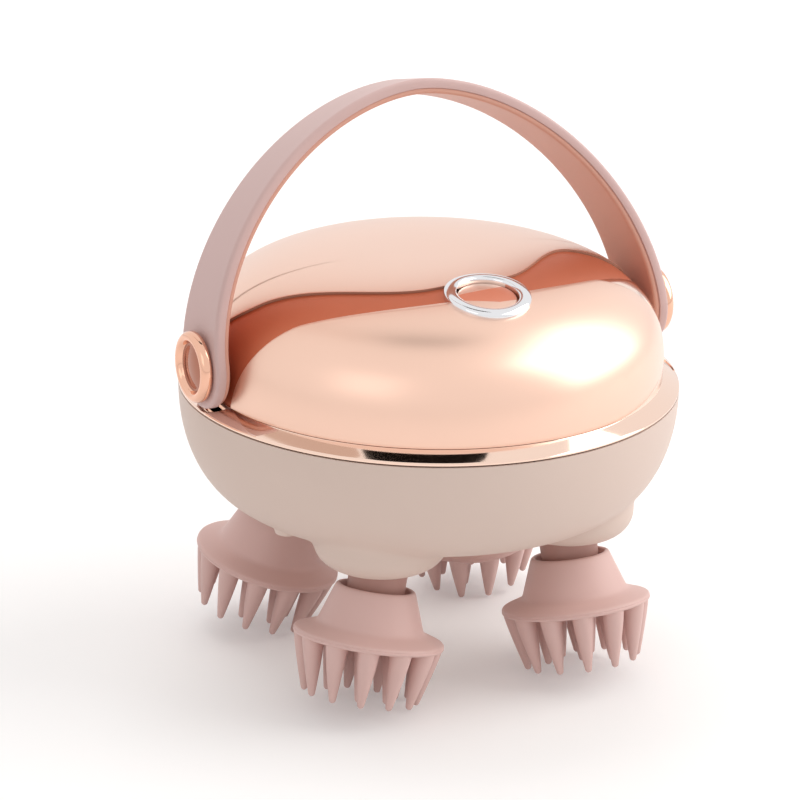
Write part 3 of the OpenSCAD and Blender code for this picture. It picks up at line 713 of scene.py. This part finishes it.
shoe_plates.data.materials.append(seam_shadow)
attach(shoe_plates, "root")

# ---- Inner dome -----------------------------------------------------------------------------
# The coral shell under the two panels. It stands up between them as the wavy band, and shows
# in the recess beside each strap end. Moulded plastic with a satin coral lacquer.
PANEL_T = 1.2
BAND_DROP = 0.4
INNER_WALL = 1.5
PANEL_GAP = 0.2
BUTTON_X = -1.0
BUTTON_Y = 21.8
BUTTON_R = 5.0
BEZEL_BORE_R = BUTTON_R + 0.15
BEZEL_W = 2.15
BEZEL_NECK = 0.8
BUTTON_HOLE = (-9, 4)


def dome_height(x, y):
    return dome_point(0, lift_at(math.hypot(x, y)))[2]


BUTTON_SLOPE = math.atan(dome_height(0, BUTTON_Y - 0.5) - dome_height(0, BUTTON_Y + 0.5))
BUTTON_Z = dome_height(BUTTON_X, BUTTON_Y)
at_button = Matrix.Translation((BUTTON_X, -BUTTON_Y, BUTTON_Z)) @ Matrix.Rotation(BUTTON_SLOPE, 4, "X")

inner_columns = []
deep = PANEL_T + 0.08
for azimuth in AZIMUTHS:
    low = front_edge_lift(azimuth, PANEL_GAP) if -178 < azimuth < -2 else 0.0
    high = max(rear_edge_lift(azimuth, PANEL_GAP), low)
    column = [dome_point(azimuth, low * u, deep) for u in np.linspace(0, 1, 10)]
    column += [dome_point(azimuth, low + (high - low) * u, BAND_DROP) for u in np.linspace(0, 1, 17)]
    column += [dome_point(azimuth, high + (90 - high) * u, deep) for u in np.linspace(0, 1, 16)]
    inner_columns.append(column)
inner = mesh_piece("coral_dome", *loft(inner_columns, True), outward_from=(0, 0, 40))
add_wall(inner, INNER_WALL)
settle(inner, 30)
cut(inner, drill(BEZEL_BORE_R + BEZEL_NECK + 0.05, *BUTTON_HOLE, at_button))
coral = moulded("coral_lacquer", (0.60, 0.165, 0.08), 0.4, grain=2200, bump=0.06, tone=0.1, Metallic=0.6)
inner.data.materials.append(coral)
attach(inner, "root")
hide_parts("inner_dome")

# ---- Front and rear panels ------------------------------------------------------------------
# Thin pressed covers in a pearly rose-gold lacquer, fixed on the inner dome either side of the
# band. Their rims and rounded edges are painted dark: painted shade for the fine gap along them.
PANEL_RIGHT = -28.4
END_FROM = -39.5
END_LIFT = 24.0
FOOT_FROM = -70
FOOT_RUN = 62
FOOT_LIFT = 13.5


def front_panel_span(azimuth):
    """Lowest and highest lift of the front panel: rounded off beside the trim's ear."""
    high = front_edge_lift(azimuth)
    low = FOOT_LIFT * ease((azimuth - FOOT_FROM) / FOOT_RUN)
    if azimuth > END_FROM:
        fade = math.sqrt(max(1 - ((azimuth - END_FROM) / (PANEL_RIGHT - END_FROM)) ** 2, 0))
        high = END_LIFT + (high - END_LIFT) * fade
        low = END_LIFT - (END_LIFT - low) * fade
    return low, max(high, low)


front_azimuths = [PANEL_LEFT, *[a for a in AZIMUTHS if PANEL_LEFT < a < END_FROM]]
for b in range(0, 91, 5):
    front_azimuths.append(END_FROM + (PANEL_RIGHT - END_FROM) * math.sin(math.radians(b)))
front_columns = []
for azimuth in front_azimuths:
    low, high = front_panel_span(azimuth)
    front_columns.append([dome_point(azimuth, low + (high - low) * u) for u in np.linspace(0, 1, 40)])
front = mesh_piece("front_panel_skin", *loft(front_columns, False), outward_from=(0, 0, 40))
rear_columns = []
for azimuth in AZIMUTHS:
    low = rear_edge_lift(azimuth)
    rear_columns.append([dome_point(azimuth, low + (90 - low) * u) for u in np.linspace(0, 1, 44)])
rear = mesh_piece("rear_panel_skin", *loft(rear_columns, True), outward_from=(0, 0, 40))

pearl = moulded("pearl_rose_lacquer", (0.91, 0.61, 0.48), 0.33, grain=1500, bump=0.03, tone=0.03, spread=0.04,
                Metallic=0.92, Coat_Weight=0.6, Coat_Roughness=0.3)
for panel, node in ((front, "front_panel"), (rear, "rear_panel")):
    # The panel's rim and rounded edges take the painted shade of the gap beside them
    add_wall(panel, PANEL_T - 0.05, rim=1)
    soften(panel, 0.12, material=1)
    panel.data.materials.append(pearl)
    panel.data.materials.append(seam_shadow)
    settle(panel, 40)
    cut(panel, drill(BEZEL_BORE_R + BEZEL_W - 0.25, *BUTTON_HOLE, at_button, 96))
    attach(panel, "root")
    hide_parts(node)

# ---- Button and its bezel -------------------------------------------------------------------
# A polished silver ring let into the dome, and inside it the push button, whose face carries
# on the dome's curve and the band's coral stripe.


def follow_dome(piece):
    """Bends a piece made on the button's flat seat to the dome's curve."""
    normal = Vector((0, -math.sin(BUTTON_SLOPE), math.cos(BUTTON_SLOPE)))
    for vertex in piece.data.vertices:
        x, y = vertex.co.x / MM, vertex.co.y / MM
        flat = BUTTON_Z + (y + BUTTON_Y) * math.tan(BUTTON_SLOPE)
        vertex.co -= normal * ((flat - dome_height(x, y)) * math.cos(BUTTON_SLOPE) * MM)


BEZEL_FOOT = -2.6
bezel_out, bezel_neck = BEZEL_BORE_R + BEZEL_W, BEZEL_BORE_R + BEZEL_NECK
bezel_mid, bezel_half = BEZEL_BORE_R + BEZEL_W / 2, BEZEL_W / 2
bezel_profile = [(BEZEL_BORE_R, BEZEL_FOOT), (BEZEL_BORE_R, 0.2)]
for a in np.linspace(0.05, math.pi - 0.05, 17):
    bezel_profile.append((bezel_mid - bezel_half * math.cos(a), 0.25 + 0.7 * math.sin(a) ** 0.8))
bezel_profile += [(bezel_out, 0.1), (bezel_out, -0.6), (bezel_neck, -0.9), (bezel_neck, BEZEL_FOOT),
                  (BEZEL_BORE_R, BEZEL_FOOT)]
bezel = mesh_piece("button_bezel_ring", *turned(bezel_profile, 96), place=at_button)
follow_dome(bezel)
settle(bezel, 40)
bezel.data.materials.append(plated("polished_silver", (0.80, 0.80, 0.82), 0.1))
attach(bezel, "root")
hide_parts("button_bezel")

cap_profile = [(r, -0.1) for r in (0, 1, 2, 3, 4, 4.5)]
cap_profile += [(4.7, -0.12), (4.88, -0.2), (BUTTON_R, -0.36), (BUTTON_R, -3.2), (1.8, -3.2), (1.8, -4.2),
                (0, -4.2)]
button = mesh_piece("button_cap_face", *turned(cap_profile, 96), place=at_button)
for _ in range(2):
    button.modifiers.new("finer", "SUBSURF").subdivision_type = "SIMPLE"
follow_dome(button)
settle(button, 40)
# The stripe's two borders, in plan: coral between them, pearl outside
stripe = pearl.copy()
stripe.name = "button_stripe"
tree = stripe.node_tree
place_node = tree.nodes.new("ShaderNodeTexCoord")
split = tree.nodes.new("ShaderNodeSeparateXYZ")
tree.links.new(place_node.outputs["Object"], split.inputs[0])


def map_range(tree, value, given=(0, 1), wanted=(0, 1)):
    """A value mapped from the given range to the wanted one, and kept within it."""
    node = tree.nodes.new("ShaderNodeMapRange")
    for label, number in zip(("From Min", "From Max", "To Min", "To Max"), (*given, *wanted)):
        node.inputs[label].default_value = number
    tree.links.new(value, node.inputs["Value"])
    return node.outputs[0]


def plan_line(x_from, y_from, x_to, y_to):
    """1 in front of the line through two plan points, 0 behind it."""
    line_y = map_range(tree, split.outputs["X"], (x_from * MM, x_to * MM), (y_from * MM, y_to * MM))
    ahead = math_node(tree, "SUBTRACT", line_y, split.outputs["Y"])
    return map_range(tree, ahead, (-0.03 * MM, 0.03 * MM))


def paint_over(material, mask, color):
    """Lays a second colour over a moulded skin where mask is 1."""
    tree = material.node_tree
    skin_node = next(n for n in tree.nodes if n.type == "GROUP")
    paint = tree.nodes.new("ShaderNodeMix")
    paint.data_type = "RGBA"
    paint.inputs["B"].default_value = (*color, 1)
    tree.links.new(mask, paint.inputs["Factor"])
    tree.links.new(skin_node.outputs["Color"], paint.inputs["A"])
    tree.links.new(paint.outputs["Result"], tree.nodes["Principled BSDF"].inputs["Base Color"])


in_front_of_top = plan_line(-6, -19.9, 4, -19.3)
in_front_of_low = plan_line(-6, -21.8, 0, -24.1)
within = math_node(tree, "SUBTRACT", in_front_of_top, in_front_of_low)
within.node.use_clamp = True
paint_over(stripe, within, (0.70, 0.20, 0.10))
less_metal = map_range(tree, within, wanted=(0.92, 0.25))
tree.links.new(less_metal, tree.nodes["Principled BSDF"].inputs["Metallic"])
button.data.materials.append(stripe)
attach(button, "button")
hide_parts("button_cap")

# ---- Handle strap and lining ----------------------------------------------------------------
# A broad arch of soft-touch rubber, dusty pink outside with a coral lining moulded inside it.
# Both layers are one bendy strip on the real one. The ends are round eyes on the hinge pins.
STRAP_R = 43.0
STRAP_FULLNESS = 1.8
STRAP_T = 1.7
LINING_T = 0.9
STRAP_W = 14.4
STRAP_TOP_W = 10.8
STRAP_LEAN = 15
PIN_R = 2.0


def arch(r, angle):
    """A point of the strap's arch, from hinge to hinge. It is slimmer than a half circle."""
    c, s = math.cos(math.radians(angle)), math.sin(math.radians(angle))
    return math.copysign(r * abs(c) ** (2 / STRAP_FULLNESS), c), r * abs(s) ** (2 / STRAP_FULLNESS)


def strap_half(h, inset):
    """Half the strap's width at a height above the hinge."""
    end = STRAP_W / 2 - inset
    if h < 0:
        return math.sqrt(max(end * end - h * h, 0))
    return end + (STRAP_TOP_W - STRAP_W) / 2 * h / (STRAP_R + 1)


def strap_stations():
    """Places along the strap: side, angle on the arch and height below the hinge."""
    stations = [(1, 0.0, -math.sin(math.radians(b))) for b in range(90, 0, -6)]
    stations += [(0, a, 0.0) for a in np.linspace(0, 180, 121)]
    stations += [(-1, 180.0, -math.sin(math.radians(b))) for b in range(6, 91, 6)]
    return stations


def strap_layer(name, r_out, r_in, inset, round_out, round_in):
    """One layer of the strap, with its long edges rounded."""
    loops = []
    end = STRAP_W / 2 - inset
    across = [math.sin(math.radians(b)) for b in np.linspace(-90, 90, 25)]
    for side, angle, drop in strap_stations():
        h = drop * end if side else arch(r_out, angle)[1]
        half = strap_half(h, inset)
        loop = []
        for face, (r, soft) in enumerate(((r_out, round_out), (r_in, round_in))):
            for v in across if face == 0 else reversed(across):
                w = v * half
                edge = end - math.hypot(min(h, 0), w) if h < 0 else half - abs(w)
                give = soft - math.sqrt(max(soft**2 - max(soft - max(edge, 0), 0) ** 2, 0)) if soft else 0
                radius = r - give if face == 0 else r + give
                if side:
                    loop.append((side * radius, w, h))
                else:
                    across_x, up = arch(radius, angle)
                    loop.append((across_x, w, up))
        loop.append(loop[0])
        loops.append(loop)
    lean = Matrix.Translation((0, 0, HINGE_Z)) @ Matrix.Rotation(-math.radians(STRAP_LEAN), 4, "X")
    piece = mesh_piece(name, *loft(loops, False), place=lean)
    cut(piece, drill(PIN_R + 0.05, -PAST_SIDE, PAST_SIDE, at_hinge(1), 48))
    settle(piece, 45)
    return piece


strap = strap_layer("strap_outer", STRAP_R, STRAP_R - STRAP_T, 0, 0.6, 0.12)
strap.data.materials.append(moulded(
    "strap_soft_touch", (0.655, 0.445, 0.42), 0.5, grain=2600, bump=0.12, tone=0.05,
    Sheen_Weight=0.15, Sheen_Roughness=0.5))
lining = strap_layer("strap_inner", STRAP_R - STRAP_T, STRAP_R - STRAP_T - LINING_T, 0.3, 0.12, 0.5)
lining.data.materials.append(moulded(
    "lining_soft_touch", (0.70, 0.36, 0.27), 0.42, grain=2600, bump=0.1, tone=0.05,
    Sheen_Weight=0.1, Sheen_Roughness=0.5))
for layer, node, finish in ((strap, "handle_strap", "strap_pink"), (lining, "strap_lining", "strap_coral")):
    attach(layer, "strap")
    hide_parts(node)

# ---- Hinge caps -----------------------------------------------------------------------------
# Turned rose-gold buttons on the ends of the hinge pins, with a bright round rim, a dished
# face and a low dome in the dish. The dish is painted dark: painted shade and reflection in its hollow.
CAP_R = 6.0
CAP_BACK = 43.15
DISH_R = 4.1
# The section's points are radius and distance from the massager's middle: dome, dish, rim, back
cap_points = [(0, 44.42), (0.8, 44.40), (1.6, 44.33), (2.4, 44.2), (3.0, 44.06), (3.5, 43.95), (3.8, 43.93),
              (4.0, 43.98), (4.15, 44.14), (4.3, 44.45), (4.45, 44.75), (4.65, 44.96), (4.9, 45.05),
              (5.2, 45.03), (5.5, 44.92), (5.75, 44.7), (5.92, 44.4), (CAP_R, 44.05), (CAP_R, 43.6),
              (5.92, 43.35), (5.7, 43.2), (5.4, CAP_BACK), (0, CAP_BACK)]
rose_cap = plated("rose_gold_cap", (0.86, 0.50, 0.36), 0.09)
# Painted shade: the dish's dark plating stands for the shade and dark reflection in the hollow
cap_dish_painted_shade = plated("rose_gold_dish", (0.40, 0.17, 0.115), 0.12)
for side, node in ((-1, "hinge_cap_left"), (1, "hinge_cap_right")):
    cap = mesh_piece(node + "_turned", *turned(cap_points, 96), place=at_hinge(side))
    settle(cap, 45)
    cap.data.materials.append(rose_cap)
    cap.data.materials.append(cap_dish_painted_shade)
    # The faces inside the dish take the painted shade
    for face in cap.data.polygons:
        out = math.hypot(face.center.y, face.center.z - HINGE_Z * MM)
        if out < DISH_R * MM and abs(face.center.x) > (CAP_BACK + 0.35) * MM:
            face.material_index = 1
    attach(cap, "root")
    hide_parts(node)

# ---- Necks ----------------------------------------------------------------------------------
# Silicone sleeves on the slanted ends of the output shafts. Each fills the mouth of its boss
# and runs down into the collar of its claw.
PIVOT_Z = 25.617
HEAD_LEAN = 15
HEAD_TURN = (-12, -38, 6, 12)
CORE_H = 9.2
NECK_R = 4.9
SHAFT_R = 2.5


def at_head(i):
    """A head's pivot, with +Z up along its leaning axis."""
    return (at_boss(i, PIVOT_Z) @ Matrix.Rotation(math.radians(HEAD_TURN[i]), 4, "Z")
            @ Matrix.Rotation(-math.radians(HEAD_LEAN), 4, "Y"))


neck_profile = [(SHAFT_R + 0.03, -CORE_H), (NECK_R - 0.1, -CORE_H), (NECK_R - 0.05, -CORE_H + 0.2),
                (NECK_R - 0.02, -6), (NECK_R + 0.04, -3.4), (NECK_R + 0.12, -2.0), (NECK_R + 0.1, -1.5),
                (NECK_R - 0.05, -1.15), (NECK_R - 0.4, -1.0), (SHAFT_R + 0.5, -1.0), (SHAFT_R + 0.5, -3.0),
                (SHAFT_R + 0.03, -3.0), (SHAFT_R + 0.03, -CORE_H)]
neck_rubber = moulded("neck_silicone", (0.50, 0.275, 0.235), 0.5, grain=2400, bump=0.12, tone=0.08)
for i in range(4):
    neck = mesh_piece("neck_sleeve_%d" % (i + 1), *turned(neck_profile, 80), place=at_head(i))
    settle(neck, 40)
    neck.data.materials.append(neck_rubber)
    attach(neck, "head_%d" % (i + 1))
    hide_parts("neck_%d" % (i + 1))

# ---- Massage claws --------------------------------------------------------------------------
# Dusty pink silicone, moulded in one: an open collar that flares into a round skirt, with
# twelve fingers round its rim, seven inside them and one in the middle.
COLLAR_H = 4.9
COLLAR_R = 6.7
CONE_R = 8.9
SKIRT_H = 13.4
SKIRT_R = 12.8
BRIM = 1.9
FINGER_LEN = 10.5
FINGER_R = 1.85
FINGER_TIP_R = 0.6
RING_R = 10.7
FINGER_SLANT = 1.3
OUTER_LENGTH = FINGER_LEN - 0.66
INNER_LENGTH = FINGER_LEN - 1
INNER_RING = 0.55
CORE_R = 5.4
FLANGE_R = 9.0


def claw_profile():
    """Section of the collar and skirt, with the bed for the hard core inside."""
    points = [(CORE_R + 0.1, -CORE_H), (COLLAR_R - 0.75, -COLLAR_H - 0.3),
              (COLLAR_R - 0.68, -COLLAR_H - 0.12), (COLLAR_R - 0.5, -COLLAR_H),
              (COLLAR_R - 0.22, -COLLAR_H), (COLLAR_R - 0.02, -COLLAR_H - 0.15)]
    foot = -SKIRT_H + BRIM
    points += [(COLLAR_R + (CONE_R - 0.15 - COLLAR_R) * u, -COLLAR_H + (foot + 0.75 + COLLAR_H) * u)
               for u in np.linspace(0.08, 1, 9)]
    # The fillet between the cone and the brim, then the brim's slope
    points += [(CONE_R + 0.02, foot + 0.3), (CONE_R + 0.28, foot - 0.08), (CONE_R + 0.7, foot - 0.38),
               (CONE_R + 1.3, foot - 0.62)]
    points += [(CONE_R + 1.3 + (SKIRT_R - 0.45 - CONE_R - 1.3) * u, foot - 0.62 - 0.78 * u)
               for u in (0.33, 0.66, 1)]
    # The grooved edge, then the underside, each set in from the skirt's radius and height
    edge = [(0.26, 0.4), (0.1, 0.24), (0.02, 0.02), (0.1, -0.1), (0.02, -0.2), (0, -0.35), (0.1, -0.55),
            (0.35, -0.7), (1, -0.78)]
    points += [(SKIRT_R - inset, -SKIRT_H + rise) for inset, rise in edge]
    points += [(6, -SKIRT_H - 1.1), (0, -SKIRT_H - 1.3)]
    bed = [(0, -SKIRT_H - 0.3), (FLANGE_R, -SKIRT_H - 0.3), (FLANGE_R, -SKIRT_H + 1.3),
           (CORE_R, -SKIRT_H + 1.3), (CORE_R, -CORE_H), (CORE_R + 0.1, -CORE_H)]
    return points + bed


def finger_profile(length):
    """A finger's section, point down, from its root in the skirt to its round tip."""
    shape = [(0, 0.9), (FINGER_R, 0.9)]
    body = length - FINGER_TIP_R
    for u in np.linspace(0, 1, 10):
        shape.append((FINGER_TIP_R + (FINGER_R - FINGER_TIP_R) * (1 - u**1.25), -body * u))
    for a in map(math.radians, (20, 42, 64)):
        shape.append((FINGER_TIP_R * math.cos(a), -body - FINGER_TIP_R * math.sin(a)))
    return shape + [(0, -length)]


def finger_tree():
    """Geometry nodes that stand the fingers under a claw's skirt: two rings and one in the middle."""
    tree = bpy.data.node_groups.new("claw_fingers", "GeometryNodeTree")
    sockets = {
        "Claw": "Geometry", "Outer finger": "Object", "Inner finger": "Object", "Outer count": "Int",
        "Inner count": "Int", "Outer radius": "Float", "Inner radius": "Float", "Slant": "Float",
        "Root height": "Float", "Material": "Material"}
    for label, kind in sockets.items():
        tree.interface.new_socket(label, in_out="INPUT", socket_type="NodeSocket" + kind)
    tree.interface.new_socket("Claw", in_out="OUTPUT", socket_type="NodeSocketGeometry")
    given = tree.nodes.new("NodeGroupInput")
    result = tree.nodes.new("NodeGroupOutput")
    gather = tree.nodes.new("GeometryNodeJoinGeometry")
    tree.links.new(given.outputs["Claw"], gather.inputs[0])
    shift = tree.nodes.new("ShaderNodeCombineXYZ")
    tree.links.new(given.outputs["Root height"], shift.inputs["Z"])

    def place(points, finger, turn):
        """Instances of a finger at points, moved down to the skirt."""
        source = tree.nodes.new("GeometryNodeObjectInfo")
        tree.links.new(given.outputs[finger], source.inputs["Object"])
        stand = tree.nodes.new("GeometryNodeInstanceOnPoints")
        tree.links.new(points, stand.inputs["Points"])
        tree.links.new(source.outputs["Geometry"], stand.inputs["Instance"])
        if turn is not None:
            tree.links.new(turn, stand.inputs["Rotation"])
        lower = tree.nodes.new("GeometryNodeTransform")
        tree.links.new(stand.outputs[0], lower.inputs["Geometry"])
        tree.links.new(shift.outputs[0], lower.inputs["Translation"])
        tree.links.new(lower.outputs[0], gather.inputs[0])

    for count, radius, finger, slanted in (("Outer count", "Outer radius", "Outer finger", True),
                                           ("Inner count", "Inner radius", "Inner finger", False)):
        circle = tree.nodes.new("GeometryNodeMeshCircle")
        tree.links.new(given.outputs[count], circle.inputs["Vertices"])
        tree.links.new(given.outputs[radius], circle.inputs["Radius"])
        index = tree.nodes.new("GeometryNodeInputIndex")
        share = math_node(tree, "DIVIDE", index.outputs[0], given.outputs[count])
        turn = tree.nodes.new("ShaderNodeCombineXYZ")
        tree.links.new(math_node(tree, "MULTIPLY", share, math.tau), turn.inputs["Z"])
        if slanted:
            tree.links.new(given.outputs["Slant"], turn.inputs["Y"])
        to_rotation = tree.nodes.new("FunctionNodeEulerToRotation")
        tree.links.new(turn.outputs[0], to_rotation.inputs[0])
        place(circle.outputs["Mesh"], finger, to_rotation.outputs[0])
    centre_point = tree.nodes.new("GeometryNodePoints")
    place(centre_point.outputs[0], "Inner finger", None)
    realize = tree.nodes.new("GeometryNodeRealizeInstances")
    colour = tree.nodes.new("GeometryNodeSetMaterial")
    tree.links.new(gather.outputs[0], realize.inputs[0])
    tree.links.new(realize.outputs[0], colour.inputs["Geometry"])
    tree.links.new(given.outputs["Material"], colour.inputs["Material"])
    tree.links.new(colour.outputs[0], result.inputs[0])
    return tree


claw_rubber = moulded("claw_silicone", (0.74, 0.495, 0.455), 0.5, grain=2400, bump=0.12, tone=0.05,
                      Sheen_Weight=0.1, Sheen_Roughness=0.5)
fingers = finger_tree()
outer_finger = mesh_piece("outer_finger", *turned(finger_profile(OUTER_LENGTH), 24))
inner_finger = mesh_piece("inner_finger", *turned(finger_profile(INNER_LENGTH), 24))
finger_inputs = {
    "Outer finger": outer_finger, "Inner finger": inner_finger, "Outer count": 12, "Inner count": 7,
    "Outer radius": RING_R * MM, "Inner radius": RING_R * INNER_RING * MM,
    "Slant": math.asin(FINGER_SLANT / OUTER_LENGTH), "Root height": (-SKIRT_H - 0.8) * MM,
    "Material": claw_rubber}
for i in range(4):
    claw = mesh_piece("claw_%d" % (i + 1), *turned(claw_profile(), 96))
    stand = claw.modifiers.new("fingers", "NODES")
    stand.node_group = fingers
    for item in fingers.interface.items_tree:
        if item.in_out == "INPUT" and item.name in finger_inputs:
            stand[item.identifier] = finger_inputs[item.name]
    settle(claw, 40)
    # The outer ring starts opposite the lean, as on the moulded part
    turn_back = Matrix.Rotation(math.pi, 4, "Z")
    claw.data.transform(Matrix.Scale(MM, 4) @ at_head(i) @ turn_back @ Matrix.Scale(1 / MM, 4))
    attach(claw, "head_%d" % (i + 1))
    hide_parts("massage_claw_%d" % (i + 1))
discard(outer_finger)
discard(inner_finger)

# ---- Gasket, screws, drive and power --------------------------------------------------------
# Everything inside and the small hardware keep their CAD solids: turned steel, brass, natural
# moulded gears, a wrapped cell, a green board and insulated wire.


def turned_metal(name, color, roughness, ridge):
    """Lathe-turned metal: fine rings of roughness round Z."""
    material = plated(name, color, roughness)
    tree = material.node_tree
    place_node = tree.nodes.new("ShaderNodeTexCoord")
    rings = tree.nodes.new("ShaderNodeTexWave")
    rings.bands_direction = "Z"
    rings.inputs["Scale"].default_value = ridge
    rings.inputs["Distortion"].default_value = 1.5
    tree.links.new(place_node.outputs["Object"], rings.inputs["Vector"])
    spread = map_range(tree, rings.outputs["Fac"], wanted=(roughness, roughness + 0.14))
    tree.links.new(spread, tree.nodes["Principled BSDF"].inputs["Roughness"])
    return material


inner_finish = {
    "gasket": moulded("gasket_rubber", (0.10, 0.045, 0.03), 0.7, bump=0.1),
    "steel": turned_metal("turned_steel", (0.58, 0.58, 0.60), 0.24, 900),
    "brass": turned_metal("turned_brass", (0.70, 0.50, 0.22), 0.26, 900),
    "white_plastic": moulded("natural_nylon", (0.80, 0.78, 0.72), 0.45, grain=1800, bump=0.12, tone=0.07),
    "cell_wrap": moulded(
        "cell_film", (0.10, 0.22, 0.36), 0.22, grain=260, bump=0.25, tone=0.1, Coat_Weight=0.4),
    "red_wire": moulded("red_insulation", (0.50, 0.04, 0.03), 0.4, grain=900, bump=0.1),
    "black_wire": moulded("black_insulation", (0.03, 0.03, 0.035), 0.4, grain=900, bump=0.1)}

board = moulded("green_board", (0.045, 0.20, 0.09), 0.3, grain=1400, bump=0.08, tone=0.12, Coat_Weight=0.3)
tree = board.node_tree
place_node = tree.nodes.new("ShaderNodeTexCoord")
tracks = tree.nodes.new("ShaderNodeTexBrick")
tracks.inputs["Scale"].default_value = 220
tracks.inputs["Mortar Size"].default_value = 0.03
tracks.inputs["Color1"].default_value = (0, 0, 0, 1)
tracks.inputs["Color2"].default_value = (0, 0, 0, 1)
tracks.inputs["Mortar"].default_value = (1, 1, 1, 1)
tree.links.new(place_node.outputs["Object"], tracks.inputs["Vector"])
paint_over(board, tracks.outputs["Color"], (0.10, 0.34, 0.15))
inner_finish["board"] = board

for entry in frame["record"]["subparts"]:
    finish = inner_finish.get(entry["material_slot"])
    if finish:
        for holder in nodes[entry["node"]].material_slots:
            holder.material = finish
